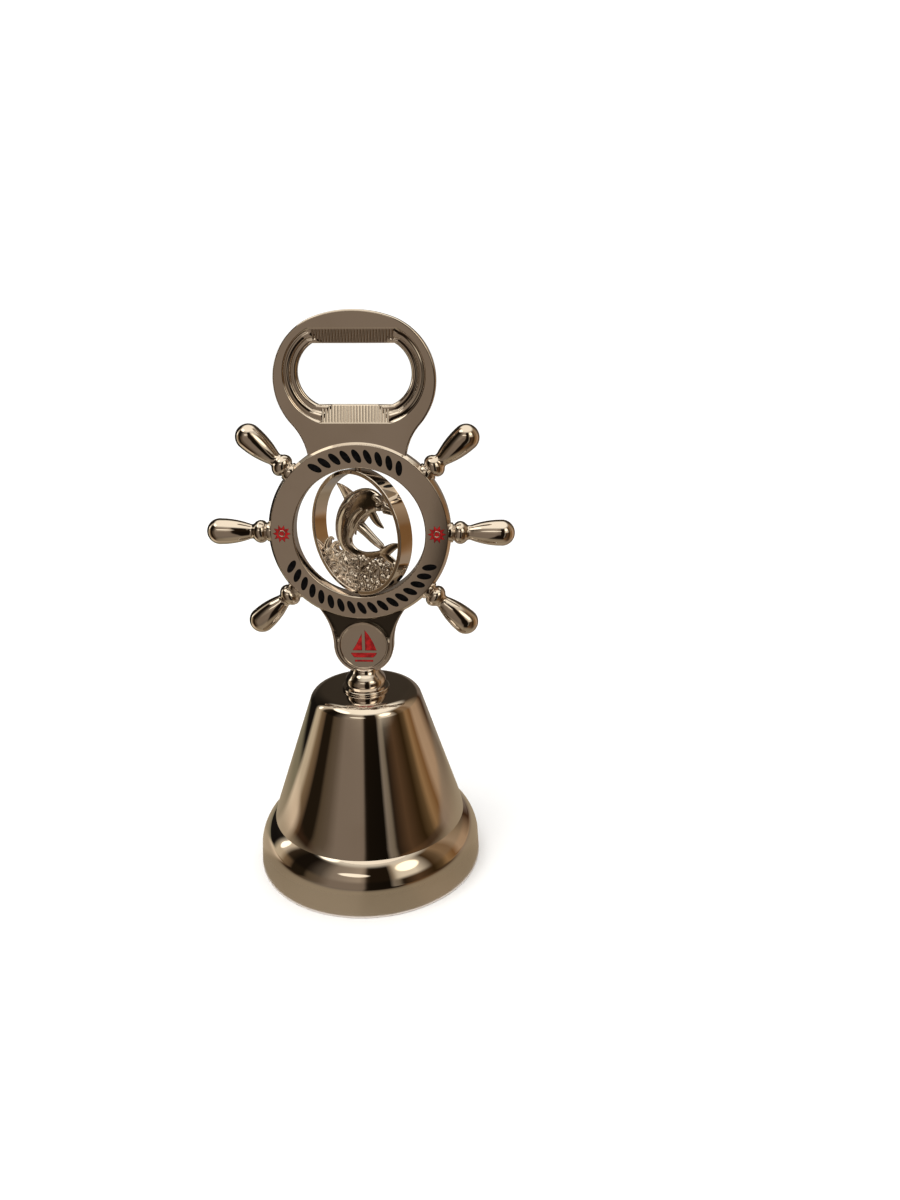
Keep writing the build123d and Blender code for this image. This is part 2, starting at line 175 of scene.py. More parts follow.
def rounded(corners, steps=5):
    """A path through (x, y, corner radius) points: corners become arcs and runs get guard points."""
    path = []
    last = len(corners) - 1
    for number, (x, y, radius) in enumerate(corners):
        here = Vector((x, y))
        before = Vector(corners[max(number - 1, 0)][:2])
        after = Vector(corners[min(number + 1, last)][:2])
        if number in (0, last) or radius == 0:
            path.append(here)
            continue
        into, out = (here - before).normalized(), (after - here).normalized()
        turn = math.atan2(into.x * out.y - into.y * out.x, into.dot(out))
        reach = radius * math.tan(abs(turn) / 2)
        centre = here + (out - into).normalized() * (radius / math.cos(turn / 2))
        arm = here - into * reach - centre
        path.append(here - into * (reach + GUARD))
        for step in range(steps + 1):
            path.append(centre + Matrix.Rotation(turn * step / steps, 2) @ arm)
        path.append(here + out * (reach + GUARD))
    return [tuple(p) for p in path]


print("a rounded corner has", len(rounded([(0, 0, 0), (5, 0, 1), (5, 5, 0)])), "points")

# %% [markdown]
# ## From sections to solid pieces
# Two ways of skinning cover almost the whole object. `turned` spins a section about an axis, as a
# lathe does. `skinned` joins a run of closed loops, one inside the other, which suits the opener and
# the tongue, whose outlines aren't round but whose edges run in parallel steps. Both return a piece
# whose object stays at the origin with its place in its mesh, because its finish is painted in
# object coordinates and the same finish then lies the same way on every piece.


# %% Mesh builders
def shown(name, mesh):
    """A new object in the scene."""
    thing = bpy.data.objects.new(name, mesh)
    bpy.context.scene.collection.objects.link(thing)
    return thing


def add_piece(name, mesh, body, finish, slot_name, sharp_deg=38):
    """Put a finished mesh on a CAD body, with its finish. The slot name is not used."""
    piece = shown(name, mesh)
    mesh.materials.clear()
    mesh.materials.append(finish)
    mesh.shade_smooth()
    mesh.set_sharp_from_angle(angle=math.radians(sharp_deg))
    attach(piece, body)
    print(name, "has", len(mesh.polygons), "faces")
    return piece


def mesh_of(name, shape):
    """A mesh from a bmesh, which is then freed."""
    mesh = bpy.data.meshes.new(name)
    shape.to_mesh(mesh)
    shape.free()
    return mesh


def mesh_from(name, points, faces):
    """A mesh in metres from points in millimetres, with doubles merged and faces turned outwards."""
    shape = bmesh.new()
    corners = [shape.verts.new(Vector(p) * MM) for p in points]
    for face in faces:
        shape.faces.new([corners[index] for index in face])
    bmesh.ops.remove_doubles(shape, verts=shape.verts[:], dist=1e-7)
    bmesh.ops.recalc_face_normals(shape, faces=shape.faces[:])
    return mesh_of(name, shape)


def turned(name, section, segments=192, place=Matrix.Identity(4)):
    """Spin a closed section of (radius, height) points about Z, then put it in place."""
    points, faces, rows = [], [], []
    for radius, height in section:
        count = 1 if radius < 1e-6 else segments
        rows.append((len(points), count))
        for number in range(count):
            angle = 2 * math.pi * number / segments
            spot = Vector((radius * math.cos(angle), radius * math.sin(angle), height))
            points.append(place @ spot)
    for (first, n), (second, m) in zip(rows, rows[1:] + rows[:1]):
        if n == m == 1:
            continue
        for number in range(segments):
            here, after = number, (number + 1) % segments
            face = [first + here % n, first + after % n, second + after % m, second + here % m]
            faces.append(tuple(dict.fromkeys(face)))
    return mesh_from(name, points, faces)


def skinned(name, loops, ends="wrap"):
    """Join closed loops of equal length in order. The last joins the first, or both ends are capped."""
    count = len(loops[0])
    points = [point for loop in loops for point in loop]
    pairs = list(zip(range(len(loops)), range(1, len(loops))))
    if ends == "wrap":
        pairs.append((len(loops) - 1, 0))
    faces = []
    for a, b in pairs:
        for number in range(count):
            after = (number + 1) % count
            faces.append((a * count + number, a * count + after, b * count + after, b * count + number))
    if ends == "cap":
        faces.append(tuple(range(count)))
        faces.append(tuple((len(loops) - 1) * count + number for number in range(count)))
    return mesh_from(name, points, faces)


def upright(z):
    """Place a Z-turned piece so that its axis lies along Y, at height z."""
    return Matrix.Translation((0, 0, z)) @ Matrix.Rotation(math.radians(90), 4, "X")


def wire_ring(name, major, minor, segments, place):
    """A closed ring of round wire about its own Z, put in place."""
    return turned(name, [(major + x, y) for x, y in arc_points((0, 0), minor, 0, 345, 23)], segments, place)


print("builders ready")

# %% [markdown]
# ## Bright nickel plating
# Polished nickel is almost a mirror, a little warmer than chrome. What keeps it from looking like
# computer glass is small: the casting under the plating was buffed by hand, so the surface swims
# very slightly, and handled metal carries faint smudges that blur the reflection in patches. The
# same recipe serves every plated piece, with the amount of each fault as a choice. All patterns are
# made in object coordinates, in metres.


# %% Node helpers and the plating recipe
def plug(tree, node, inputs):
    """Give a node its inputs: a socket is linked, and any other value is stored."""
    for key, value in inputs.items():
        socket = node.inputs[key]
        if isinstance(value, bpy.types.NodeSocket):
            tree.links.new(value, socket)
        else:
            socket.default_value = (*value, 1.0) if socket.type == "RGBA" else value
    return node


def added(tree, kind, inputs=None, **settings):
    """A new node of a kind, with its settings and its inputs."""
    node = tree.nodes.new(kind)
    for name, value in settings.items():
        setattr(node, name, value)
    return plug(tree, node, inputs or {})


def new_finish(name):
    """A new material with its node tree, its shader and a source of object coordinates."""
    finish = bpy.data.materials.new(name)
    finish.use_nodes = True
    tree = finish.node_tree
    return finish, tree, tree.nodes["Principled BSDF"], added(tree, "ShaderNodeTexCoord").outputs["Object"]


def scaled(tree, coords, scale):
    """Stretch the coordinates of a pattern."""
    return added(tree, "ShaderNodeMapping", {"Vector": coords, "Scale": scale}).outputs["Vector"]


def noise(tree, coords, scale, detail=3.0, roughness=0.5):
    """Cloudy noise from 0 to 1; scale is in features per metre."""
    inputs = {"Vector": coords, "Scale": scale, "Detail": detail, "Roughness": roughness}
    return added(tree, "ShaderNodeTexNoise", inputs).outputs["Fac"]


def mapped(tree, value, low, high, to_low=0.0, to_high=1.0):
    """Rescale a value smoothly from one range to another."""
    inputs = {"Value": value, "From Min": low, "From Max": high, "To Min": to_low, "To Max": to_high}
    return added(tree, "ShaderNodeMapRange", inputs, interpolation_type="SMOOTHSTEP").outputs["Result"]


def maths(tree, operation, a, b=0.0):
    """One step of arithmetic on sockets or plain numbers."""
    return added(tree, "ShaderNodeMath", {0: a, 1: b}, operation=operation).outputs["Value"]


def plus(tree, a, b):
    """Sum of two sockets or numbers."""
    return maths(tree, "ADD", a, b)


def times(tree, a, b):
    """Product of two sockets or numbers."""
    return maths(tree, "MULTIPLY", a, b)


def blended(tree, share, colour_a, colour_b):
    """Mix two colours by a share."""
    inputs = {"Factor": share, "A": colour_a, "B": colour_b}
    return added(tree, "ShaderNodeMix", inputs, data_type="RGBA").outputs["Result"]


def bumped(tree, height, depth, **below):
    """Bump from a height of 0 to 1; depth is in metres. Another bump can lie below it, as Normal=."""
    return added(tree, "ShaderNodeBump", {"Height": height, "Distance": depth, **below}).outputs["Normal"]


def split(tree, whole):
    """The outputs X, Y and Z of a vector."""
    return added(tree, "ShaderNodeSeparateXYZ", {"Vector": whole}).outputs


def vector(tree, x=0.0, y=0.0, z=0.0):
    """A vector from three sockets or numbers."""
    return added(tree, "ShaderNodeCombineXYZ", {"X": x, "Y": y, "Z": z}).outputs["Vector"]


def from_axis(tree, axes):
    """Distance from the Z axis."""
    squares = [times(tree, axes[name], axes[name]) for name in ("X", "Y")]
    return maths(tree, "SQRT", plus(tree, *squares))


NICKEL = (0.71, 0.655, 0.61)
NICKEL_WORN = (0.65, 0.59, 0.535)


def nickel(name, swim=2.0e-6, smudge=0.05, polish=0.015):
    """Bright nickel plating. Swim is the depth of the buffing waves."""
    finish, tree, shader, coords = new_finish(name)
    cloud = noise(tree, coords, 55, detail=4)
    patches = mapped(tree, noise(tree, coords, 140, detail=5, roughness=0.6), 0.50, 0.72, 0.0, smudge)
    grain = mapped(tree, noise(tree, coords, 5200, detail=2), 0.35, 0.75, 0.0, 0.03)
    plug(tree, shader, {
        "Metallic": 1.0,
        "Base Color": blended(tree, mapped(tree, cloud, 0.42, 0.72), NICKEL, NICKEL_WORN),
        "Roughness": plus(tree, plus(tree, patches, grain), polish),
        "Normal": bumped(tree, noise(tree, coords, 420, detail=2), swim),
    })
    return finish


plated_handle = nickel("nickel_handle")
plated_relief = nickel("nickel_relief", swim=3.0e-5, smudge=0.04, polish=0.10)
HANDLE = ("bell_and_handle", plated_handle, "plated_handle")
print("finishes:", plated_handle.name, plated_relief.name)

# %% [markdown]
# ## The bell
# The bell is one shell. Above a satin band at its foot comes a hard edge, a glossy rounded lip and a
# tight hollow, and then a long straight cone up to a small flat crown. The cone and the lip are
# mirror bright, the band is brushed round and dull, and the inside is dull too. One turned section
# gives the whole shell, inside and out, and one material mixes the three finishes by place.

# %% Bell section
BAND_TOP_Z = 6.2
BAND_TOP_RADIUS = 27.4
LIP_BULGE = (26.0, 9.9)
LIP_TOP = (23.7, 12.6)
CONE_FOOT_Z = 16.2
CONE_HALF_ANGLE = 18.5
SHOULDER_RADIUS = 3.3
CROWN_FLAT_RADIUS = 10.4
WALL = 1.6
CROWN_THICKNESS = 2.2
MOUTH_RADIUS = 25.6
SCREW_BORE = 2.1


def cone_radius(z):
    """Outer radius of the straight cone at height z."""
    lean = math.radians(CONE_HALF_ANGLE)
    top_z = crown_z - SHOULDER_RADIUS * (1 - math.sin(lean))
    return CROWN_FLAT_RADIUS + SHOULDER_RADIUS * math.cos(lean) + (top_z - z) * math.tan(lean)


def hollow_arc(start, lean_deg, end, steps):
    """The arc that leaves start straight down a slope and ends at end."""
    lean = math.radians(lean_deg)
    along = Vector((math.sin(lean), -math.cos(lean)))
    side = Vector((math.cos(lean), math.sin(lean)))
    reach = Vector(end) - Vector(start)
    radius = reach.length_squared / (2 * reach.dot(side))
    centre = Vector(start) + side * radius
    turn = 2 * math.asin(reach.length / (2 * radius))
    points = []
    for number in range(steps + 1):
        angle = turn * number / steps
        points.append(tuple(centre - side * radius * math.cos(angle) + along * radius * math.sin(angle)))
    return points


def bell_section():
    """Outer wall from the crown down, then the inner wall back up."""
    inner_wall = WALL / math.cos(math.radians(CONE_HALF_ANGLE))
    underside_z = crown_z - CROWN_THICKNESS
    shoulder = arc_points((CROWN_FLAT_RADIUS, crown_z - SHOULDER_RADIUS), SHOULDER_RADIUS,
                          90, CONE_HALF_ANGLE, 24)
    cone_foot = (cone_radius(CONE_FOOT_Z), CONE_FOOT_Z)
    section = [(SCREW_BORE, crown_z), (CROWN_FLAT_RADIUS - 0.3, crown_z)]
    section += shoulder
    cone_top_z = shoulder[-1][1]
    for number in range(1, 12):
        z = cone_top_z + (CONE_FOOT_Z - cone_top_z) * number / 12
        section.append((cone_radius(z), z))
    section += hollow_arc(cone_foot, CONE_HALF_ANGLE, LIP_TOP, 12)
    section += arc_through(LIP_TOP, LIP_BULGE, (BAND_TOP_RADIUS, BAND_TOP_Z), 20)[1:]
    section += rounded([
        (BAND_TOP_RADIUS, BAND_TOP_Z, 0),
        (bell_foot, 0, 0.3),
        (MOUTH_RADIUS, 0, 0.3),
        (MOUTH_RADIUS - 0.3, 0.6 * BAND_TOP_Z, 1.5),
        (cone_radius(LIP_TOP[1]) - inner_wall, LIP_TOP[1], 3.0),
        (cone_radius(underside_z) - inner_wall, underside_z, 1.2),
        (SCREW_BORE, underside_z, 0),
    ])[1:]
    return section


print("the bell's section has", len(bell_section()), "points")

# %% Bell finish
BAND_DULLNESS = 0.27
INSIDE_DULLNESS = 0.45
INSIDE_METAL = (0.40, 0.37, 0.33)


def bell_finish():
    """Mirror nickel above, brushed satin nickel on the band, and dull plating inside."""
    finish, tree, shader, coords = new_finish("nickel_bell")
    axes = split(tree, coords)
    on_band = mapped(tree, axes["Z"], (BAND_TOP_Z - 0.1) * MM, (BAND_TOP_Z + 0.1) * MM, 1.0, 0.0)
    cloud = noise(tree, coords, 45, detail=4)
    tint = blended(tree, mapped(tree, cloud, 0.42, 0.72), NICKEL, NICKEL_WORN)
    patches = mapped(tree, noise(tree, coords, 120, detail=5, roughness=0.6), 0.52, 0.72, 0.0, 0.045)
    satin = times(tree, on_band, BAND_DULLNESS)
    rough = plus(tree, plus(tree, patches, satin), 0.02)
    # The inner wall lies well inside the outer cone carried on down, and below the crown.
    lean = math.tan(math.radians(CONE_HALF_ANGLE))
    leaned = plus(tree, from_axis(tree, axes), times(tree, axes["Z"], lean))
    limit = cone_radius(0) - 1.2
    within = mapped(tree, leaned, (limit - 0.05) * MM, (limit + 0.05) * MM, 1.0, 0.0)
    below_crown = mapped(tree, axes["Z"], (crown_z - 1.7) * MM, (crown_z - 1.5) * MM, 1.0, 0.0)
    inside = times(tree, within, below_crown)
    swim = bumped(tree, noise(tree, coords, 260, detail=2), 2.5e-6)
    rings = noise(tree, scaled(tree, coords, (25, 25, 7000)), 1.0, roughness=0.7)
    depth = plus(tree, times(tree, on_band, 0.88), 0.12)
    plug(tree, shader, {
        "Metallic": 1.0,
        "Base Color": blended(tree, inside, tint, INSIDE_METAL),
        "Roughness": plus(tree, rough, times(tree, inside, INSIDE_DULLNESS)),
        "Normal": bumped(tree, times(tree, rings, depth), 6.0e-6, Normal=swim),
    })
    return finish


plated_bell = bell_finish()
bell = add_piece("bell_mirror_shell", turned("bell_mirror_shell", bell_section(), 256),
                 "bell_and_handle", plated_bell, "plated_bell", sharp_deg=30)
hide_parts("bell_shell")

# %% [markdown]
# ## The neck and the turned spokes
# Under the wheel a ball-like bead sits on a thin flange, and six turned handles stand out of the rim
# as on a real ship's wheel: a little neck, a round bead, a thin waist and a long club with a round
# end. All of them are lathe work, so each is one section. Smooth curves run through a few chosen
# points, which is how a turner would describe such a shape.

# %% Neck collar
NECK_BEAD_Z = span("neck_collar", Z)[0] + 1.8
NECK_TOP_Z = span("neck_collar", Z)[1]
FLANGE_RADIUS = span("neck_collar", X)[1]


def neck_section():
    """A thin flange on the crown, and a ball-like bead that narrows up into the tongue."""
    flange = rounded([
        (0, crown_z, 0),
        (FLANGE_RADIUS, crown_z, 0.15),
        (FLANGE_RADIUS, crown_z + 0.7, 0.3),
        (4.6, crown_z + 0.7, 0),
    ])
    bead = smooth_through([
        (4.6, crown_z + 0.72),
        (4.93, NECK_BEAD_Z),
        (4.72, NECK_BEAD_Z + 1.1),
        (4.1, NECK_BEAD_Z + 2.0),
        (3.5, NECK_BEAD_Z + 2.7),
        (3.2, NECK_BEAD_Z + 3.2),
        (2.9, NECK_TOP_Z - 0.2),
        (1.6, NECK_TOP_Z),
    ], 8)
    return flange + bead[1:] + [(0, NECK_TOP_Z)]


neck = add_piece("neck_bead", turned("neck_bead", neck_section(), 128),
                 *HANDLE)
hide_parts("neck_collar")

# %% Spokes
SPOKE_ROOT = 20.3
RAISED_DEG = 41.7
SPOKE_DEGREES = {
    "spoke_right": 0,
    "spoke_upper_right": RAISED_DEG,
    "spoke_upper_left": 180 - RAISED_DEG,
    "spoke_left": 180,
    "spoke_lower_left": 180 + RAISED_DEG,
    "spoke_lower_right": -RAISED_DEG,
}


def spoke_section():
    """Radius and distance from the wheel's centre, from the root out to the round tip."""
    collar = [(0, SPOKE_ROOT), (2.3, SPOKE_ROOT), (2.3, 21.15), (2.2, 21.3), (1.9, 21.4)]
    turned_part = smooth_through([
        (1.85, 21.5),
        (2.45, 22.15),
        (2.65, 23.05),
        (2.35, 23.9),
        (1.80, 24.55),
        (1.68, 25.1),
        (2.02, 26.2),
        (2.42, 27.6),
        (2.74, 29.2),
        (2.93, 30.8),
        (2.99, 32.1),
    ], 8)
    end = arc_points((0, spoke_tip - 3.0), 3.0, 0, 90, 20)
    return collar + turned_part + [(x, y) for x, y in end[1:-1]] + [(0, spoke_tip)]


for node, degrees in SPOKE_DEGREES.items():
    outwards = Matrix.Rotation(math.radians(90 - degrees), 4, "Y")
    place = Matrix.Translation((0, 0, wheel_z)) @ outwards
    spoke = add_piece(node + "_turned", turned(node, spoke_section(), 96, place),
                      *HANDLE)
    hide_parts(node)

# %% [markdown]
# ## The wheel's rim and its enamel
# The rim is a flat ring with softened edges. Shallow cells are sunk in both faces and filled with
# enamel: black strands of a rope along the top and the bottom, and a red sun at each side. A ring is
# turned first, and the cells are then cut with a boolean, which is how a graver would go about it.
# The strands repeat round an arc, so Geometry Nodes lay them out. The same tree makes the cutters
# and the enamel that fills them, so that the two can't drift apart.


# %% Geometry Nodes helpers
def new_tree(name, inputs):
    """An empty geometry tree with inputs listed by kind, a finish last. Returns it and its given values."""
    tree = bpy.data.node_groups.new(name, "GeometryNodeTree")
    for kind, labels in {**inputs, "Material": ["Finish"]}.items():
        for label in labels:
            tree.interface.new_socket(name=label, in_out="INPUT", socket_type="NodeSocket" + kind)
    tree.interface.new_socket(name="Geometry", in_out="OUTPUT", socket_type="NodeSocketGeometry")
    return tree, tree.nodes.new("NodeGroupInput").outputs


def copied(tree, given, points, shape, **placing):
    """End a tree: put a copy of a shape on every point, make the copies real and coat them."""
    inputs = {"Points": points, "Instance": shape, **placing}
    copies = added(tree, "GeometryNodeInstanceOnPoints", inputs).outputs["Instances"]
    real = added(tree, "GeometryNodeRealizeInstances", {"Geometry": copies}).outputs["Geometry"]
    coated = added(tree, "GeometryNodeSetMaterial", {"Geometry": real, "Material": given["Finish"]})
    added(tree, "NodeGroupOutput", {"Geometry": coated.outputs["Geometry"]})
    return tree


def applied(thing, name):
    """The mesh of a working object after its modifiers. The object itself goes."""
    graph = bpy.context.evaluated_depsgraph_get()
    mesh = bpy.data.meshes.new_from_object(thing.evaluated_get(graph))
    mesh.name = name
    bpy.data.objects.remove(thing)
    return mesh


def grown(tree, values, source=None):
    """Run a geometry tree once and return its result as a plain mesh."""
    holder = shown("holder", source or bpy.data.meshes.new("empty"))
    modifier = holder.modifiers.new("grown", "NODES")
    modifier.node_group = tree
    names = {item.name: item.identifier for item in tree.interface.items_tree if item.in_out == "INPUT"}
    for name, value in values.items():
        modifier[names[name]] = value
    return applied(holder, "grown")


def joined(name, meshes):
    """Several meshes as one."""
    shape = bmesh.new()
    for mesh in meshes:
        shape.from_mesh(mesh)
    return mesh_of(name, shape)


def cut_away(name, body_mesh, cutter_mesh):
    """The body with the cutter taken out of it, as a plain mesh."""
    body, cutter = shown("body", body_mesh), shown("cutter", cutter_mesh)
    boolean = body.modifiers.new("cells", "BOOLEAN")
    boolean.operation = "DIFFERENCE"
    boolean.solver = "EXACT"
    boolean.object = cutter
    mesh = applied(body, name)
    bpy.data.objects.remove(cutter)
    return mesh


def strand_tree():
    """Flat rounded strands along an arc in the XZ plane, each leaning against the arc."""
    tree, given = new_tree("rope_of_strands", {
        "Int": ["Count"],
        "Float": ["Middle Angle", "Step Angle", "Arc Radius", "Centre Height", "Lean", "Strand Length",
                  "Strand Width", "Strand Depth", "Strand Y"],
        "Bool": ["Domed"],
    })
    index = added(tree, "GeometryNodeInputIndex").outputs["Index"]
    half_row = times(tree, maths(tree, "SUBTRACT", given["Count"], 1), 0.5)
    spread = times(tree, maths(tree, "SUBTRACT", index, half_row), given["Step Angle"])
    degrees = plus(tree, spread, given["Middle Angle"])
    angle = times(tree, degrees, math.pi / 180)
    across = times(tree, maths(tree, "COSINE", angle), given["Arc Radius"])
    rise = times(tree, maths(tree, "SINE", angle), given["Arc Radius"])
    place = vector(tree, across, given["Strand Y"], plus(tree, rise, given["Centre Height"]))
    leaning = plus(tree, degrees, given["Lean"])
    row = added(tree, "GeometryNodeMeshLine", {"Count": given["Count"]}).outputs["Mesh"]
    placed = added(tree, "GeometryNodeSetPosition", {"Geometry": row, "Position": place})
    dome = added(tree, "GeometryNodeMeshUVSphere", {"Segments": 40, "Rings": 16, "Radius": 0.5})
    flat = added(tree, "GeometryNodeMeshCylinder", {"Vertices": 40, "Radius": 0.5, "Depth": 1.0})
    shapes = {"Switch": given["Domed"], "False": flat.outputs["Mesh"], "True": dome.outputs["Mesh"]}
    shape = added(tree, "GeometryNodeSwitch", shapes, input_type="GEOMETRY").outputs["Output"]
    lying = added(tree, "GeometryNodeTransform", {"Geometry": shape, "Rotation": (math.radians(90), 0, 0)})
    return copied(tree, given, placed.outputs["Geometry"], lying.outputs["Geometry"],
                  Rotation=vector(tree, y=times(tree, leaning, -math.pi / 180)),
                  Scale=vector(tree, given["Strand Length"], given["Strand Depth"], given["Strand Width"]))


strands = strand_tree()
print("the strand tree has", len(strands.nodes), "nodes")

# %% Enamel finishes


def enamel(name, deep, thin, roughness, gloss):
    """Soft enamel: glossy, darker where it lies thick, with a few pin-sized specks."""
    finish, tree, shader, coords = new_finish(name)
    depth = mapped(tree, noise(tree, coords, 900), 0.35, 0.7)
    speck = mapped(tree, noise(tree, coords, 2600, detail=2), 0.6, 0.75, roughness, roughness + 0.12)
    plug(tree, shader, {
        "Base Color": blended(tree, depth, deep, thin),
        "Roughness": speck,
        "Coat Weight": gloss,
        "Specular IOR Level": 0.06 + 0.8 * gloss,
        "Coat Roughness": 0.08,
        "Normal": bumped(tree, noise(tree, coords, 1400, detail=2), 6e-6),
    })
    return finish


black_enamel = enamel("black_enamel", (0.002, 0.002, 0.002), (0.005, 0.004, 0.004), 0.34, 0.0)
red_enamel = enamel("red_enamel", (0.17, 0.002, 0.003), (0.34, 0.006, 0.006), 0.20, 0.3)
print("finishes:", black_enamel.name, red_enamel.name)

# %% Rim, cells and strands
CELL_DEPTH = 0.4
ENAMEL_SUNK = 0.05
BAND_MID = 17.7
TOP_STRANDS = 9
BOTTOM_STRANDS = 17
STRAND_STEP_DEG = 8.0
STRAND_LEAN_DEG = 32.0
STRAND_LONG, STRAND_WIDE = 3.4, 1.5
FILL_THICK = 0.24
FILL_PLAY = 0.02


def prism(name, outline, y_low, y_high):
    """A flat outline of (x, z) points made solid between two depths."""
    return skinned(name, [[(x, y, z) for x, z in outline] for y in (y_low, y_high)], ends="cap")


def sun_outline(side, grow=0.0):
    """A sun with ten rays, at the right (1) or the left (-1) of the rim."""
    points = []
    for number in range(20):
        radius = (2.15 if number % 2 == 0 else 1.3) + grow
        angle = math.pi * number / 10
        points.append((side * BAND_MID + radius * math.cos(angle), wheel_z + radius * math.sin(angle)))
    return points


def rope_meshes(side, domed):
    """The upper and the lower strands of one face: side is -1 for the front and 1 for the back."""
    depth = FILL_THICK if domed else 2 * CELL_DEPTH
    y = side * (rim_face - ENAMEL_SUNK - FILL_THICK / 2) if domed else side * rim_face
    grow = -FILL_PLAY if domed else 0.0
    return [grown(strands, {
        "Count": count,
        "Middle Angle": middle_deg,
        "Step Angle": STRAND_STEP_DEG,
        "Arc Radius": BAND_MID * MM,
        "Centre Height": wheel_z * MM,
        "Lean": -STRAND_LEAN_DEG * side,
        "Strand Length": (STRAND_LONG + grow) * MM,
        "Strand Width": (STRAND_WIDE + grow) * MM,
        "Strand Depth": depth * MM,
        "Strand Y": y * MM,
        "Domed": domed,
        "Finish": black_enamel,
    }) for middle_deg, count in ((90.0, TOP_STRANDS), (270.0, BOTTOM_STRANDS))]


def rim_section():
    """Radius and depth round the ring's section, closed at a small gap in the middle of its front."""
    half = rim_face
    shoulder = half - 0.9
    return rounded([
        (rim_inner + 1.5, -half, 0),
        (20.2, -half, 0.25),
        (rim_outer, -shoulder, 0.35),
        (rim_outer, shoulder, 0.35),
        (20.2, half, 0.25),
        (rim_inner + 0.15, half, 0.3),
        (rim_inner, half - 0.3, 0.2),
        (rim_inner, 0.3 - half, 0.2),
        (rim_inner + 0.15, -half, 0.3),
        (rim_inner + 1.4, -half, 0),
    ])


FACES = ((-1, "front"), (1, "back"))
cutters = [mesh for pair in zip(rope_meshes(-1, False), rope_meshes(1, False)) for mesh in pair]
for face, _ in FACES:
    for side in (-1, 1):
        cutters.append(prism("sun_cell", sun_outline(side), face * rim_face - CELL_DEPTH,
                             face * rim_face + CELL_DEPTH))
ring_blank = turned("rim_blank", rim_section(), 240, upright(wheel_z))
rim_mesh = cut_away("rim_with_cells", ring_blank, joined("cells", cutters))
rim = add_piece("rim_with_cells", rim_mesh, *HANDLE, 25)
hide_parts("wheel_rim")

for side, label in FACES:
    rope_piece = add_piece(label + "_rope_strands", joined(label + "_rope", rope_meshes(side, True)),
                           "bell_and_handle", black_enamel, "black_enamel")
    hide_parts(label + "_rope_enamel")

# %% Suns
SUN_RING = 0.66


def shrunk(outline, amount):
    """An outline pulled towards its own middle by a small distance."""
    middle = Vector((sum(x for x, _ in outline), sum(y for _, y in outline))) / len(outline)
    points = []
    for point in outline:
        arm = Vector(point) - middle
        points.append(tuple(middle + arm * max(0.0, 1 - amount / arm.length)))
    return points


def enamel_fill(name, outline, level, side):
    """A pool of enamel in a cell: full outline at its foot, and a low dome that stays below the metal."""
    loops = []
    for inset, sunk in ((0.0, 0.35), (0.0, 0.12), (0.04, 0.07), (0.16, 0.045), (0.45, 0.035)):
        y = side * (level - sunk)
        loops.append([(x, y, z) for x, z in shrunk(outline, inset)])
    return skinned(name, loops, ends="cap")


for face, face_name in FACES:
    for side in (-1, 1):
        name = face_name + ("_right_sun" if side * face < 0 else "_left_sun")
        sun = add_piece(name, enamel_fill(name, sun_outline(side, -0.03), rim_face, face),
                        "bell_and_handle", red_enamel, "red_enamel")
        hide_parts(name + "_enamel")
        place = Matrix.Translation((side * BAND_MID, face * (rim_face - 0.1), 0)) @ upright(wheel_z)
        add_piece(name + "_ring", wire_ring(name + "_ring", SUN_RING, 0.15, 48, place),
                  *HANDLE)

# %% [markdown]
# ## The opener head
# The head is a flat plate with a keyhole-round outline and a mouth that takes a crown cap. Round the
# mouth the plate steps down to a thin biting lip: in two rounded mouldings at the sides, and in a
# straight toothed slope above and below. Every one of those edges is a closed loop about the middle
# of the mouth. So rays are cast from that middle, each outline is met along every ray, and the
# loops are skinned together from the outer wall, over the face, into the mouth and out of the back.

# %% Outlines of the opener
MOUTH_MIDDLE = Vector((0, 119.55))
PLATE_HALF = opener_face
LIP_HALF = 0.5
PLATE_EDGE = 0.38
BAR_TOP_HALF, BAR_FOOT_HALF = 9.1, 7.5
MOUTH_TOP, MOUTH_FOOT = (8.9, 126.0), (8.1, 113.1)
RECESS_TOP, RECESS_FOOT = (9.5, 129.1), (7.7, 109.2)


def mirrored(right_half):
    """Close a right half, given from bottom to top, with its mirror image."""
    return right_half + [(-x, y) for x, y in reversed(right_half)]


def head_outline():
    """Waist, side and top arcs, each running smoothly into the next."""
    top_radius, widest_z = 25.0, 118.2
    waist_half, waist_z = 10.8, 100.0
    top_centre = (0, opener_top - top_radius)
    drop = widest_z - top_centre[1]
    side_radius = (top_radius**2 - opener_half_width**2 - drop**2) / (2 * (top_radius - opener_half_width))
    side_centre = (opener_half_width - side_radius, widest_z)
    join_deg = math.degrees(math.atan2(drop, side_centre[0]))
    fall, reach = widest_z - waist_z, waist_half - side_centre[0]
    waist_radius = (reach**2 + fall**2 - side_radius**2) / (2 * (side_radius - reach))
    waist_centre = (waist_half + waist_radius, waist_z)
    touch_deg = math.degrees(math.atan2(-fall, waist_centre[0] - side_centre[0]))
    foot_deg = 180 - math.degrees(math.asin(1.6 / waist_radius))
    right = arc_points(waist_centre, waist_radius, foot_deg, 180 + touch_deg, 60)
    right += arc_points(side_centre, side_radius, touch_deg, join_deg, 160)[1:]
    right += arc_points(top_centre, top_radius, join_deg, 90, 60)[1:-1]
    return mirrored(right)


def slot_outline(half_width, top, foot):
    """Straight bars between two top and two foot corners, with a round lobe at each side."""
    return mirrored(arc_through(foot, (half_width, (top[1] + foot[1]) / 2), top, 160))


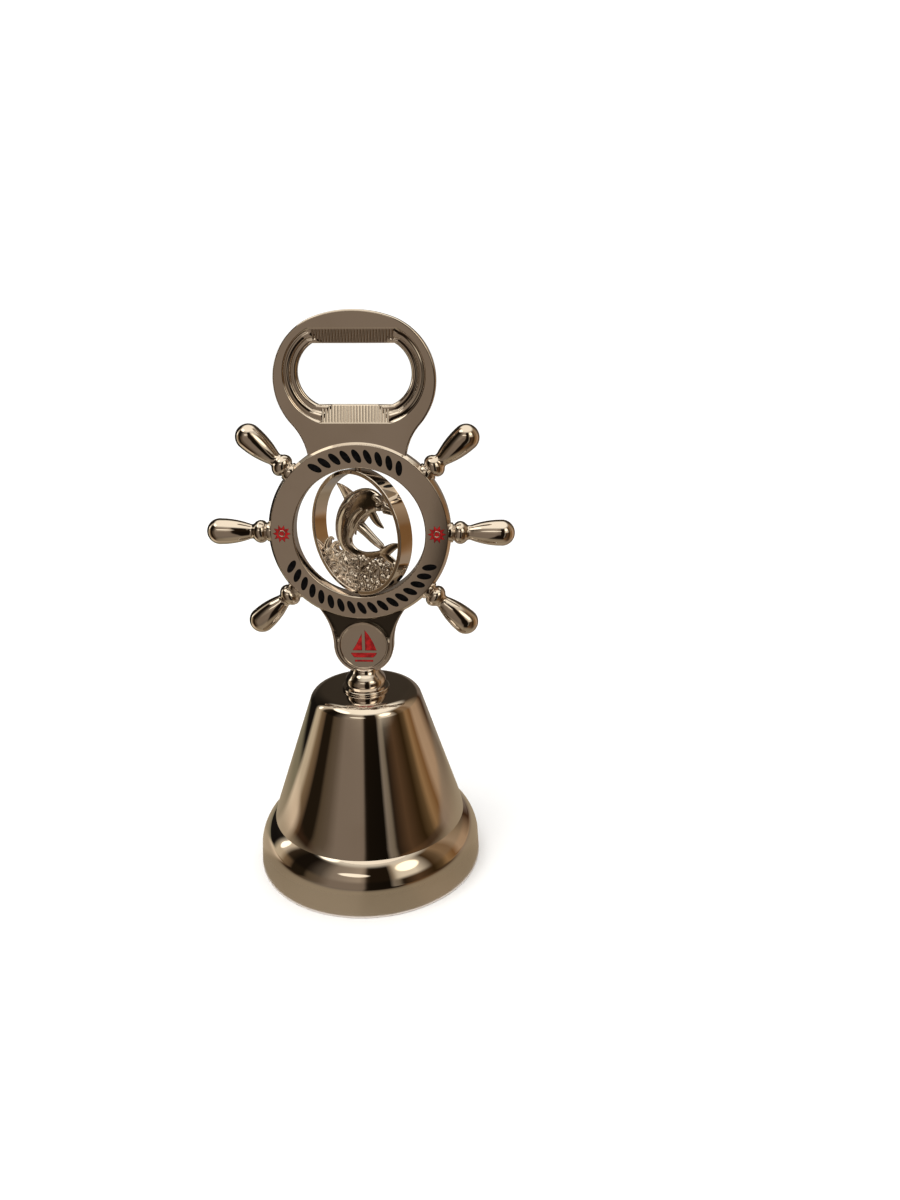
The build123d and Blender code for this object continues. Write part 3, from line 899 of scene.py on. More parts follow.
def met_along(outline, middle, direction):
    """Distance from the middle to the outline along a ray."""
    far = 0.0
    for a, b in zip(outline, outline[1:] + outline[:1]):
        a, b = Vector(a) - middle, Vector(b) - middle
        side_a = direction.x * a.y - direction.y * a.x
        side_b = direction.x * b.y - direction.y * b.x
        if (side_a <= 0) == (side_b <= 0):
            continue
        point = a + (b - a) * (side_a / (side_a - side_b))
        far = max(far, point.dot(direction))
    return far


def rays_about(middle, count, corners):
    """Evenly turned unit rays, with extra ones through the corners of the outlines."""
    angles = {round(2 * math.pi * number / count, 6) for number in range(count)}
    for corner in corners:
        arm = Vector(corner) - middle
        angles.add(round(math.atan2(arm.y, arm.x) % (2 * math.pi), 6))
    return [Vector((math.cos(angle), math.sin(angle))) for angle in sorted(angles)]


def eased(value, low, high):
    """Smooth step from 0 to 1 between low and high."""
    share = min(1.0, max(0.0, (value - low) / (high - low)))
    return share * share * (3 - 2 * share)


def round_edge(outer, half, radius, steps):
    """From the middle of a plate's outer wall, round its edge and on to its face."""
    run = [(outer, 0.0)]
    for step in range(steps + 1):
        turn = math.pi / 2 * step / steps
        run.append((outer - radius * (1 - math.cos(turn)), half - radius * (1 - math.sin(turn))))
    return run + [(outer - radius - GUARD, half)]


def ray_loop(rows, middle, number, side):
    """The closed loop through one numbered (reach, depth) of every ray, on one side of a plate."""
    loop = []
    for ray, row in rows:
        reach, depth = row[number]
        spot = middle + ray * reach
        loop.append((spot.x, side * depth, spot.y))
    return loop


HEAD = head_outline()
MOUTH = slot_outline(12.45, MOUTH_TOP, MOUTH_FOOT)
RECESS = slot_outline(15.5, RECESS_TOP, RECESS_FOOT)
print("head outline:", len(HEAD), "points; mouth", len(MOUTH), "recess", len(RECESS))

# %% The head's surface


def lobe_depth(share):
    """Depth below the face across the mouldings at the sides, from recess edge (0) to lip (1)."""
    first = 0.42 * eased(share, 0.0, 0.10)
    first_crown = -0.16 * math.sin(math.pi * eased(share, 0.08, 0.50))
    second = 0.38 * eased(share, 0.46, 0.58)
    second_crown = -0.12 * math.sin(math.pi * eased(share, 0.56, 0.98))
    return first + first_crown + second + second_crown + 0.30 * eased(share, 0.86, 1.0)


def bar_depth(share):
    """Depth across the straight toothed slopes."""
    return (PLATE_HALF - LIP_HALF) * min(1.0, 0.06 * eased(share, 0, 0.02) + 0.94 * share)


def head_rows():
    """Reach and depth of every loop, one row of values per ray."""
    corners = [(s * x, z) for s in (-1, 1) for x, z in (MOUTH_TOP, MOUTH_FOOT, RECESS_TOP, RECESS_FOOT)]
    rows = []
    for ray in rays_about(MOUTH_MIDDLE, 640, corners):
        outer, recess, mouth = (met_along(outline, MOUTH_MIDDLE, ray) for outline in (HEAD, RECESS, MOUTH))
        row = round_edge(outer, PLATE_HALF, PLATE_EDGE, 6)
        row += [(recess + 0.14, PLATE_HALF), (recess + 0.10, PLATE_HALF),
                (recess + 0.03, PLATE_HALF - 0.02)]
        bar_end = BAR_TOP_HALF if ray.y > 0 else BAR_FOOT_HALF
        on_lobe = eased(abs(ray.x) * recess, bar_end, bar_end + 1.2)
        for step in range(33):
            share = step / 32
            depth = on_lobe * lobe_depth(share) + (1 - on_lobe) * bar_depth(share)
            row.append((recess + (mouth - recess) * share, PLATE_HALF - max(depth, 0.05)))
        row += [(mouth - 0.03, 0.6 * LIP_HALF), (mouth - 0.03, 0.0)]
        rows.append((ray, row))
    return rows


def head_mesh():
    """Over the front face into the mouth, and out over the back."""
    rows = head_rows()
    steps = len(rows[0][1])
    order = [(number, -1) for number in range(steps)]
    order += [(number, 1) for number in range(steps - 2, 0, -1)]
    return skinned("opener_plate", [ray_loop(rows, MOUTH_MIDDLE, number, side) for number, side in order])


opener = add_piece("opener_plate", head_mesh(), *HANDLE, 50)
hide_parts("opener_head")

# %% Teeth of the opener
TOOTH_PITCH = 0.68
TOOTH_RADIUS = 0.29
TEETH_TOP_HALF, TEETH_FOOT_HALF = 9.0, 7.5


def ridge_tree():
    """A row of round ridges along X, turned about X so that they lie down a slope."""
    tree, given = new_tree("row_of_ridges", {
        "Int": ["Count"],
        "Float": ["Pitch", "Ridge Length", "Ridge Radius", "Slope", "Middle Y", "Middle Z"],
    })
    half_row = times(tree, maths(tree, "SUBTRACT", given["Count"], 1), -0.5)
    start_x = times(tree, half_row, given["Pitch"])
    start = vector(tree, start_x, given["Middle Y"], given["Middle Z"])
    row = added(tree, "GeometryNodeMeshLine", {
        "Count": given["Count"], "Offset": vector(tree, given["Pitch"]), "Start Location": start})
    ridge = added(tree, "GeometryNodeMeshCylinder", {
        "Vertices": 14, "Radius": given["Ridge Radius"], "Depth": given["Ridge Length"]})
    return copied(tree, given, row.outputs["Mesh"], ridge.outputs["Mesh"],
                  Rotation=vector(tree, given["Slope"]))


ridges = ridge_tree()


def teeth(edge, lip, half_row, side):
    """The ridges of one toothed slope, between a corner of the recess and one of the mouth."""
    drop, rise = PLATE_HALF - LIP_HALF, edge[1] - lip[1]
    return grown(ridges, {
        "Count": int(2 * half_row / TOOTH_PITCH),
        "Pitch": TOOTH_PITCH * MM,
        "Ridge Length": (math.hypot(drop, rise) - 0.5) * MM,
        "Ridge Radius": TOOTH_RADIUS * MM,
        "Slope": math.atan2(-side * drop, rise) if rise > 0 else math.atan2(side * drop, -rise),
        "Middle Y": side * (PLATE_HALF + LIP_HALF - 0.22) / 2 * MM,
        "Middle Z": (edge[1] + lip[1]) / 2 * MM,
        "Finish": plated_handle,
    })


for side, label in FACES:
    rows_of_teeth = [teeth(RECESS_TOP, MOUTH_TOP, TEETH_TOP_HALF, side),
                     teeth(RECESS_FOOT, MOUTH_FOOT, TEETH_FOOT_HALF, side)]
    add_piece(label + "_opener_teeth", joined(label + "_opener_teeth", rows_of_teeth),
              *HANDLE, 50)

# %% [markdown]
# ## The tongue and its boss
# Between the rim and the neck a flat tongue widens up into the wheel. It carries a round boss with a
# raised rim, and beside the top of the boss two hollows are sunk between the boss and the tongue's
# border. Again every edge can be met along rays, this time from the middle of the boss, so the same
# loops make it. The emblem is a small sailing boat in red enamel, in cells cut like those of the rim.

# %% Tongue
BOSS_Z = sum(span("front_boat_enamel", Z)) / 2 - 0.05
BOSS_RADIUS = 6.0
BOSS_HALF = span("tongue", Y)[1]
DISH_HALF = BOSS_HALF - 0.3
TONGUE_HALF = 1.7
TONGUE_WIDTH = 7.1
TONGUE_EDGE = 0.3
FLARE_RADIUS = 16.0
BORDER = 1.0
HOLLOW = 0.8
HOLLOW_PAINTED_SHADE = (0.10, 0.088, 0.075)
BOSS_MIDDLE = Vector((0, BOSS_Z))


def tongue_outline():
    """A round foot below the boss, and flared sides up to a straight top hidden in the rim."""
    top_z = span("tongue", Z)[1]
    flare_x = TONGUE_WIDTH + FLARE_RADIUS
    end_deg = 180 - math.degrees(math.asin((top_z - BOSS_Z) / FLARE_RADIUS))
    foot = arc_points((0, BOSS_Z), TONGUE_WIDTH, -90, 0, 60)[1:]
    side = arc_points((flare_x, BOSS_Z), FLARE_RADIUS, 180, end_deg, 60)[1:]
    return mirrored(foot + side)


def boss_rows():
    """Reach and depth of every loop from the tongue's edge, over the hollow and the boss, to its dish."""
    outline = tongue_outline()
    corner = outline[len(outline) // 2 - 1]
    rows = []
    for ray in rays_about(BOSS_MIDDLE, 360, [corner, (-corner[0], corner[1])]):
        outer = met_along(outline, BOSS_MIDDLE, ray)
        floor = TONGUE_HALF - HOLLOW * eased(outer - BORDER - BOSS_RADIUS, 0.05, 0.7)
        far = max(outer - BORDER, BOSS_RADIUS + 0.2)
        row = round_edge(outer, TONGUE_HALF, TONGUE_EDGE, 5)
        row += [(far + 0.10, TONGUE_HALF), (far + 0.03, TONGUE_HALF - 0.03),
                (far, min(TONGUE_HALF - 0.06, floor + 0.05)), (far - 0.05, floor)]
        boss = [(-0.08, floor), (0, floor + 0.06), (0, BOSS_HALF - 0.12), (0.04, BOSS_HALF - 0.03),
                (0.12, BOSS_HALF), (0.38, BOSS_HALF), (0.46, BOSS_HALF - 0.03), (0.50, BOSS_HALF - 0.12),
                (0.52, DISH_HALF + 0.04), (0.58, DISH_HALF), (0.70, DISH_HALF)]
        rows.append((ray, row + [(BOSS_RADIUS - inset, depth) for inset, depth in boss]))
    return rows


def tongue_mesh():
    """From the front dish out to the edge, and back in to the dish behind."""
    rows = boss_rows()
    steps = len(rows[0][1])
    order = [(number, -1) for number in range(steps - 1, 0, -1)] + [(number, 1) for number in range(steps)]
    return skinned("tongue_blank", [ray_loop(rows, BOSS_MIDDLE, number, side) for number, side in order],
                   ends="cap")


BOAT = {
    "hull": [(-3.1, -1.7), (3.2, -1.7), (2.75, -2.45), (2.2, -2.9), (-2.3, -2.9), (-2.8, -2.3)],
    "main_sail": [(0.35, 4.1), (1.35, 2.75), (2.35, 0.9), (3.1, -1.1), (0.35, -1.1)],
    "jib": [(-0.35, 3.2), (-0.35, -1.1), (-2.7, -1.1), (-1.75, 0.4)],
    "water": [(-2.2, -3.5), (2.2, -3.5), (2.2, -4.0), (-2.2, -4.0)],
}


def boat_outline(part, grow=0.0):
    """One part of the boat, in its place on the boss."""
    return [(x, BOSS_Z + z) for x, z in shrunk(BOAT[part], -grow)]


def tongue_finish():
    """Nickel as elsewhere, but rougher on the floors of the two hollows, where painted shade darkens its
    colour.
    """
    finish = nickel("nickel_tongue")
    tree = finish.node_tree
    shader = tree.nodes["Principled BSDF"]
    coords = added(tree, "ShaderNodeTexCoord").outputs
    depth = maths(tree, "ABSOLUTE", split(tree, coords["Object"])["Y"])
    sunk = mapped(tree, depth, (TONGUE_HALF - 0.6) * MM, (TONGUE_HALF - 0.2) * MM, 1.0, 0.0)
    flat = mapped(tree, maths(tree, "ABSOLUTE", split(tree, coords["Normal"])["Y"]), 0.6, 0.8)
    # The share marks the hollow floors: it paints shade into their colour and also makes them rougher.
    share = times(tree, sunk, flat)
    bright, smooth = (shader.inputs[name].links[0].from_socket for name in ("Base Color", "Roughness"))
    plug(tree, shader, {
        "Base Color": blended(tree, share, bright, HOLLOW_PAINTED_SHADE),
        "Roughness": plus(tree, smooth, times(tree, share, 0.3)),
    })
    return finish


cells = [prism("boat_cell", boat_outline(part), face * DISH_HALF - 0.35, face * DISH_HALF + 0.35)
         for face, _ in FACES for part in BOAT]
tongue = add_piece("tongue_with_boss", cut_away("tongue_with_boss", tongue_mesh(), joined("cells", cells)),
                   "bell_and_handle", tongue_finish(), "plated_handle", 32)
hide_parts("tongue")
for face, face_name in FACES:
    fills = [enamel_fill("fill", boat_outline(part, -0.02), DISH_HALF, face) for part in BOAT]
    boat = add_piece(face_name + "_boat", joined(face_name + "_boat", fills),
                     "bell_and_handle", red_enamel, "red_enamel")
    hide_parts(face_name + "_boat_enamel")

# %% [markdown]
# ## The spinning medallion
# A thin hoop turns on two pins inside the wheel. In its opening a dolphin leaps out of broken water,
# cast in the round and plated like the rest. Such a little sculpture is modelled the way a sculptor
# works in wax: rough limbs first, pressed together, then smoothed into one skin. Here the limbs are
# tubes and flattened cones along short curves, a voxel remesh presses them together, and a few
# rounds of smoothing give the soft edges of a casting.

# %% Hoop and pins
HOOP_OUTER, HOOP_INNER, HOOP_HALF = 14.5, 13.5, 2.0
MEDALLION_TURN = -38.0
in_wheel = Matrix.Translation((0, 0, wheel_z)) @ Matrix.Rotation(math.radians(MEDALLION_TURN), 4, "Z")


def hoop_section():
    """The hoop's section, closed at a small gap in the middle of one edge."""
    return rounded([
        ((HOOP_INNER + HOOP_OUTER) / 2 - 0.02, -HOOP_HALF, 0),
        (HOOP_OUTER, -HOOP_HALF, 0.22),
        (HOOP_OUTER, HOOP_HALF, 0.22),
        (HOOP_INNER, HOOP_HALF, 0.22),
        (HOOP_INNER, -HOOP_HALF, 0.22),
        ((HOOP_INNER + HOOP_OUTER) / 2 - 0.08, -HOOP_HALF, 0),
    ], 6)


hoop = add_piece("medallion_ring",
                 turned("medallion_ring", hoop_section(), 224, in_wheel @ upright(0)),
                 "medallion", plated_handle, "plated_medallion")
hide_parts("medallion_hoop")

for node in ("upper_pivot_pin", "lower_pivot_pin"):
    low, high = span(node, Z)
    section = rounded([(0, low, 0), (0.7, low, 0.12), (0.7, high, 0.12), (0, high, 0)], 3)
    pin = add_piece(node + "_turned", turned(node, section, 40),
                    "medallion", plated_relief, "plated_medallion")
    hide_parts(node)

# %% Modelling in the round


def limb(path, flatness, segments=28):
    """A closed tube through (x, z, radius) points. Flatness is its depth as a share of its width."""
    line = smooth_through(path, 6)
    loops = []
    for number, (x, z, radius) in enumerate(line):
        before, after = line[max(number - 1, 0)], line[min(number + 1, len(line) - 1)]
        along = Vector((after[0] - before[0], after[1] - before[1])).normalized()
        side = Vector((-along.y, along.x))
        loop = []
        for step in range(segments):
            turn = 2 * math.pi * step / segments
            out = radius * math.cos(turn)
            loop.append((x + side.x * out, radius * flatness * math.sin(turn), z + side.y * out))
        loops.append(loop)
    return skinned("limb", loops, ends="cap")


def ball(x, y, z, radius):
    """A small ball of wax."""
    shape = bmesh.new()
    bmesh.ops.create_icosphere(shape, subdivisions=3, radius=radius * MM,
                               matrix=Matrix.Translation(Vector((x, y, z)) * MM))
    return mesh_of("ball", shape)


def cast(name, meshes, voxel, smoothing):
    """Press rough limbs into one smooth skin, and stand it in the wheel."""
    wax = shown(name, joined(name, meshes))
    remesh = wax.modifiers.new("pressed", "REMESH")
    remesh.mode = "VOXEL"
    remesh.voxel_size = voxel * MM
    soften = wax.modifiers.new("softened", "SMOOTH")
    soften.factor = 0.5
    soften.iterations = smoothing
    mesh = applied(wax, name)
    mesh.transform(Matrix.Translation(in_wheel.translation * MM) @ in_wheel.to_3x3().to_4x4())
    return mesh


# %% Dolphin
DOLPHIN = {
    "body": ([(8.5, 6.7, 0.8), (7.5, 7.2, 1.45), (5.9, 7.7, 2.15), (3.8, 7.8, 2.8), (1.3, 7.0, 3.25),
              (-1.5, 5.3, 3.45), (-3.7, 3.0, 3.4), (-5.0, 0.4, 3.1), (-5.3, -2.1, 2.55), (-4.2, -4.3, 1.95),
              (-1.8, -5.5, 1.5), (1.2, -5.6, 1.2), (4.3, -4.8, 0.95), (7.0, -3.8, 0.75)], 0.42),
    "upper_beak": ([(7.9, 6.9, 0.95), (9.1, 6.7, 0.6), (10.1, 6.35, 0.38), (10.8, 6.1, 0.2)], 0.8),
    "lower_beak": ([(7.8, 6.1, 0.75), (9.0, 5.8, 0.5), (9.9, 5.6, 0.34), (10.4, 5.45, 0.18)], 0.8),
    "dorsal": ([(-2.0, 6.6, 2.4), (-3.9, 8.3, 1.7), (-5.7, 9.6, 0.95), (-7.2, 10.4, 0.28)], 0.2),
    "near_flipper": ([(3.4, 5.7, 1.1), (4.5, 4.3, 1.25), (5.8, 3.0, 0.95), (7.6, 2.0, 0.25)], 0.34),
    "far_flipper": ([(-0.6, 1.8, 1.6), (2.0, 0.3, 1.35), (4.6, -1.3, 1.15), (6.8, -2.4, 0.8),
                     (8.2, -3.1, 0.3)], 0.5),
    "upper_fluke": ([(6.4, -4.0, 0.85), (8.4, -3.0, 1.15), (10.6, -1.7, 0.85), (12.9, -0.9, 0.25)], 0.38),
    "lower_fluke": ([(6.4, -4.0, 0.85), (8.6, -4.7, 1.05), (10.6, -5.4, 0.8), (12.2, -6.2, 0.25)], 0.38),
}
# Folds and swellings on each flank: the jaw, the brow, a crease behind the flipper and belly lines.
FLANK = [
    ([(8.1, 6.5, 0.22), (6.9, 6.2, 0.32), (5.7, 6.3, 0.24)], 0.76),
    ([(7.8, 7.9, 0.38), (6.7, 8.5, 0.66), (5.3, 8.9, 0.50)], 0.60),
    ([(3.6, 5.6, 0.32), (1.8, 4.3, 0.46), (0.2, 2.6, 0.44), (-1.0, 0.8, 0.32)], 1.05),
    ([(1.9, 5.9, 0.28), (0.0, 4.6, 0.40), (-1.6, 2.8, 0.40), (-2.6, 0.8, 0.34), (-2.9, -1.4, 0.24)], 1.22),
    ([(-1.2, 7.4, 0.26), (-3.9, 5.6, 0.38), (-5.9, 2.9, 0.40), (-6.8, 0.2, 0.34),
      (-6.7, -2.2, 0.24)], 1.00),
    ([(0.4, 1.6, 0.24), (2.6, 0.4, 0.30), (4.8, -1.0, 0.28), (6.8, -2.1, 0.18)], 0.66),
]
dolphin_wax = [limb(path, flatness) for path, flatness in DOLPHIN.values()]
for side in (-1, 1):
    dolphin_wax.append(ball(6.6, side * 0.98, 7.5, 0.36))
    for path, out in FLANK:
        fold = limb(path, 1.0)
        fold.transform(Matrix.Translation((0, side * out * MM, 0)))
        dolphin_wax.append(fold)
dolphin = add_piece("leaping_dolphin", cast("leaping_dolphin", dolphin_wax, 0.12, 3),
                    "medallion", plated_relief, "plated_medallion", 60)
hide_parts("dolphin")

# %% Broken water


def foam_tree():
    """Beads of foam scattered over a surface, with sizes and places from a fixed seed."""
    tree, given = new_tree("foam_beads", {
        "Geometry": ["Geometry"], "Float": ["Density", "Smallest", "Largest"], "Int": ["Seed"]})
    scatter = added(tree, "GeometryNodeDistributePointsOnFaces", {
        "Mesh": given["Geometry"], "Density": given["Density"], "Seed": given["Seed"]})
    # Plain numbers are this node's third and fourth inputs, and its second output.
    sizes = added(tree, "FunctionNodeRandomValue", {
        2: given["Smallest"], 3: given["Largest"], "Seed": given["Seed"]})
    bead = added(tree, "GeometryNodeMeshIcoSphere", {"Radius": 1.0, "Subdivisions": 2})
    return copied(tree, given, scatter.outputs["Points"], bead.outputs["Mesh"], Scale=sizes.outputs[1])


def pool_mesh():
    """The still body of the water: a rounded slab that fills the foot of the hoop."""
    top_z, reach = -6.2, HOOP_INNER + 0.25
    half_chord = math.sqrt(reach**2 - top_z**2)
    start = math.degrees(math.atan2(top_z, -half_chord)) % 360
    end = math.degrees(math.atan2(top_z, half_chord)) % 360
    arc = arc_points((0, 0), reach, start, end, 60)
    crest = []
    for number in range(1, 40):
        x = half_chord * (1 - number / 20)
        crest.append((x, top_z + 0.55 * math.sin(x * 1.25) + 0.35 * math.sin(x * 2.9 + 1)))
    return prism("pool", arc + crest, -0.7, 0.7)


SPLASHES = [
    ([(-11.4, -6.0, 1.2), (-11.0, -4.2, 0.9), (-10.0, -3.0, 0.5), (-9.0, -3.2, 0.25)], 0.9),
    ([(-9.2, -6.4, 1.4), (-8.6, -4.6, 1.0), (-7.5, -3.9, 0.55), (-6.6, -4.4, 0.25)], 1.0),
    ([(-6.6, -7.4, 1.4), (-5.9, -6.2, 1.0), (-4.8, -5.7, 0.6), (-4.0, -6.2, 0.25)], 1.0),
    ([(-2.6, -8.6, 1.3), (-1.8, -7.6, 0.9), (-0.6, -7.2, 0.5), (0.3, -7.7, 0.25)], 1.1),
    ([(1.2, -8.6, 1.3), (2.1, -7.5, 0.9), (3.4, -7.0, 0.5), (4.4, -7.5, 0.25)], 1.1),
    ([(5.2, -8.6, 1.3), (6.2, -7.4, 0.9), (7.6, -6.7, 0.5), (8.6, -7.2, 0.25)], 1.0),
    ([(8.6, -8.2, 1.1), (9.6, -7.0, 0.8), (10.6, -6.5, 0.45), (11.4, -6.7, 0.22)], 0.9),
]
pool = pool_mesh()
water_wax = [pool] + [limb(path, flatness) for path, flatness in SPLASHES]
water_wax.append(grown(foam_tree(), {"Density": 0.7e6, "Smallest": 0.45 * MM, "Largest": 1.0 * MM,
                                     "Seed": 4, "Finish": plated_relief}, source=pool))
water = add_piece("broken_water", cast("broken_water", water_wax, 0.14, 1),
                  "medallion", plated_relief, "plated_medallion", 60)
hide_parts("waves")

# %% [markdown]
# ## Inside the bell
# A screw with a ring for a head goes up through the crown into the neck. A wire ring links it to the
# clapper: a short rod with its own eye and a ball that strikes the lip. None of it is bright-plated.
# The washer and the wire are plain zinc-plated steel and the ball is dull brass.

# %% Steel and brass


def wire_steel(name):
    """Zinc-plated steel with dull blotches."""
    finish, tree, shader, coords = new_finish(name)
    blotch = mapped(tree, noise(tree, coords, 300, detail=4), 0.4, 0.7)
    plug(tree, shader, {
        "Metallic": 1.0,
        "Base Color": blended(tree, blotch, (0.52, 0.51, 0.49), (0.40, 0.38, 0.34)),
        "Roughness": mapped(tree, noise(tree, coords, 1100, detail=4), 0.3, 0.7, 0.24, 0.42),
        "Normal": bumped(tree, noise(tree, coords, 2400), 8e-6),
    })
    return finish


def ball_brass(name):
    """Dull brass with faint rings from the lathe."""
    finish, tree, shader, coords = new_finish(name)
    tarnish = mapped(tree, noise(tree, coords, 260, detail=5), 0.42, 0.66)
    rings = noise(tree, scaled(tree, coords, (40, 40, 5200)), 1.0)
    plug(tree, shader, {
        "Metallic": 1.0,
        "Base Color": blended(tree, tarnish, (0.72, 0.50, 0.22), (0.38, 0.24, 0.10)),
        "Roughness": mapped(tree, tarnish, 0, 1, 0.22, 0.48),
        "Normal": bumped(tree, rings, 8e-6),
    })
    return finish


plain_steel = wire_steel("wire_steel")
dull_brass = ball_brass("ball_brass")

# %% Screw, link and clapper


def eye_ring(major, minor, z, axis):
    """A closed wire ring about a level axis, as a mesh."""
    turn = Matrix.Rotation(math.radians(90), 4, "X" if axis == "Y" else "Y")
    return wire_ring("ring", major, minor, 96, Matrix.Translation((0, 0, z)) @ turn)


WASHER_RADIUS = 5.0
SHANK_RADIUS, THREAD_RADIUS, NUT_RADIUS, NUT_HEIGHT = 1.2, 2.0, 3.4, 1.2
EYE_MAJOR, EYE_WIRE = 2.5, 0.9
LINK_MAJOR, LINK_WIRE = 3.0, 0.7
LOOP_MAJOR, LOOP_WIRE = 2.4, 0.8
ROD_RADIUS, BALL_RADIUS = 1.0, 5.2
washer_low, washer_high = span("crown_washer", Z)
washer_section = rounded([
    (SCREW_BORE, washer_low, 0), (WASHER_RADIUS, washer_low, 0.2),
    (WASHER_RADIUS, washer_high, 0.1), (SCREW_BORE, washer_high, 0)])
washer = add_piece("steel_washer", turned("steel_washer", washer_section, 96),
                   "bell_and_handle", plain_steel, "plain_steel")
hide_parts("crown_washer")

screw_foot, screw_top = span("eye_screw", Z)
eye_z = screw_foot + EYE_MAJOR + EYE_WIRE
nut_low = washer_low - NUT_HEIGHT
screw_section = rounded([
    (0, eye_z + 1.6, 0), (SHANK_RADIUS, eye_z + 1.6, 0.1),
    (SHANK_RADIUS, nut_low, 0.3), (NUT_RADIUS, nut_low, 0.3), (NUT_RADIUS, washer_low, 0.15),
    (THREAD_RADIUS, washer_low, 0.1), (THREAD_RADIUS, screw_top, 0.3), (0, screw_top, 0)])
screw = add_piece("eye_screw_wire",
                  joined("eye_screw_wire", [eye_ring(EYE_MAJOR, EYE_WIRE, eye_z, "Y"),
                                            turned("shank", screw_section, 64)]),
                  "bell_and_handle", plain_steel, "plain_steel")
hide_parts("eye_screw")

link_low, link_high = span("clapper_link", Z)
link = add_piece("link_ring", eye_ring(LINK_MAJOR, LINK_WIRE, (link_low + link_high) / 2, "X"),
                 "clapper_link", plain_steel, "plain_steel")
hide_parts("clapper_link")

rod_low, rod_high = span("clapper_rod", Z)
loop_z = rod_high - LOOP_MAJOR - LOOP_WIRE
neck_z = loop_z - LOOP_MAJOR
rod_section = rounded([
    (0, rod_low, 0), (ROD_RADIUS, rod_low, 0.1), (ROD_RADIUS, neck_z - 0.6, 0.6),
    (0.7, neck_z, 0.2), (0, neck_z, 0)])
rod = add_piece("clapper_wire", joined("clapper_wire", [eye_ring(LOOP_MAJOR, LOOP_WIRE, loop_z, "Y"),
                                                        turned("rod", rod_section, 48)]),
                "clapper", plain_steel, "plain_steel")
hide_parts("clapper_rod")

ball_z = span("clapper_ball", Z)[0] + BALL_RADIUS
ball_section = arc_points((0, ball_z), BALL_RADIUS, -90, 76, 56)
ball_section += [(1.15, ball_z + BALL_RADIUS - 0.12), (1.03, ball_z + BALL_RADIUS - 0.5),
                 (1.03, ball_z), (0, ball_z)]
striker = add_piece("striker_ball", turned("striker_ball", ball_section, 96),
                    "clapper", dull_brass, "clapper_ball")
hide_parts("clapper_ball")

# %% [markdown]
# ## Floor, light and the room that the metal mirrors
# A product photographer lights bright metal by what it sees, not by what falls on it. So the soft
# studio light comes from a pale sky and one large lamp, which the metal doesn't mirror. The mirror
# image comes from a painted drum round the bell, with a painted table and ceiling: quiet brown-grey
# in front, near-black strips beside it, a bright window at the left and a warm wall at the right. A
# few soft oval cards stand for lamps. Only reflections see any of this. The floor is plain and pale.


# %% Stage helpers
def painted(red, green, blue):
    """A display colour of 0 to 255 as linear light."""
    return tuple(((c / 255 + 0.055) / 1.055) ** 2.4 if c > 10 else c / 3295 for c in (red, green, blue))


def only_in_reflections(thing):
    """Hide a thing of the studio from everything but the metal's mirror image."""
    thing.visible_camera = False
    thing.visible_diffuse = False
    thing.visible_transmission = False
    thing.visible_volume_scatter = False
    thing.visible_shadow = False
    thing.visible_glossy = True
    thing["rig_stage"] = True


def staged(name, points, faces, material):
    """A mesh of the studio, in metres."""
    mesh = bpy.data.meshes.new(name)
    mesh.from_pydata(points, [], faces)
    mesh.materials.append(material)
    thing = shown(name, mesh)
    thing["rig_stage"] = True
    return thing


def swept(name, first, second, material, segments=96):
    """A surface round the bell's axis between two points of (radius, height): a disc or a drum."""
    points, faces = [], []
    for number in range(segments):
        angle = 2 * math.pi * number / segments
        for radius, z in (first, second):
            points.append((radius * math.cos(angle), radius * math.sin(angle), z))
        a, b = 2 * number, 2 * ((number + 1) % segments)
        faces.append((a, a + 1, b + 1, b))
    return staged(name, points, faces, material)


print("cards can be painted")

# %% Floor and sky


def floor_finish():
    """Pale matt paper."""
    finish, tree, shader, coords = new_finish("pale_floor")
    cloud = noise(tree, coords, 3.0, detail=2)
    plug(tree, shader, {
        "Base Color": blended(tree, cloud, (0.89, 0.887, 0.88), (0.91, 0.907, 0.90)),
        "Roughness": 0.9,
        "Specular IOR Level": 0.1,
    })
    return finish


swept("floor", (0.0001, 0.0), (6.0, 0.0), floor_finish())
world = bpy.data.worlds.new("pale_sky")
bpy.context.scene.world = world
world.use_nodes = True
plug(world.node_tree, world.node_tree.nodes["Background"], {"Color": (1.0, 0.997, 0.99), "Strength": 1.16})

lamp_data = bpy.data.lights.new("soft_lamp", "AREA")
lamp_data.shape = "DISK"
lamp_data.size = 0.7
lamp_data.energy = 4.0
lamp_data.color = (1.0, 0.97, 0.93)
lamp = shown("soft_lamp", lamp_data)
lamp.location = (-0.45, -0.35, 0.95)
lamp.rotation_euler = (Vector((0, 0, 0.05)) - lamp.location).to_track_quat("-Z", "Y").to_euler()
lamp.visible_glossy = False
print("floor and sky are up")

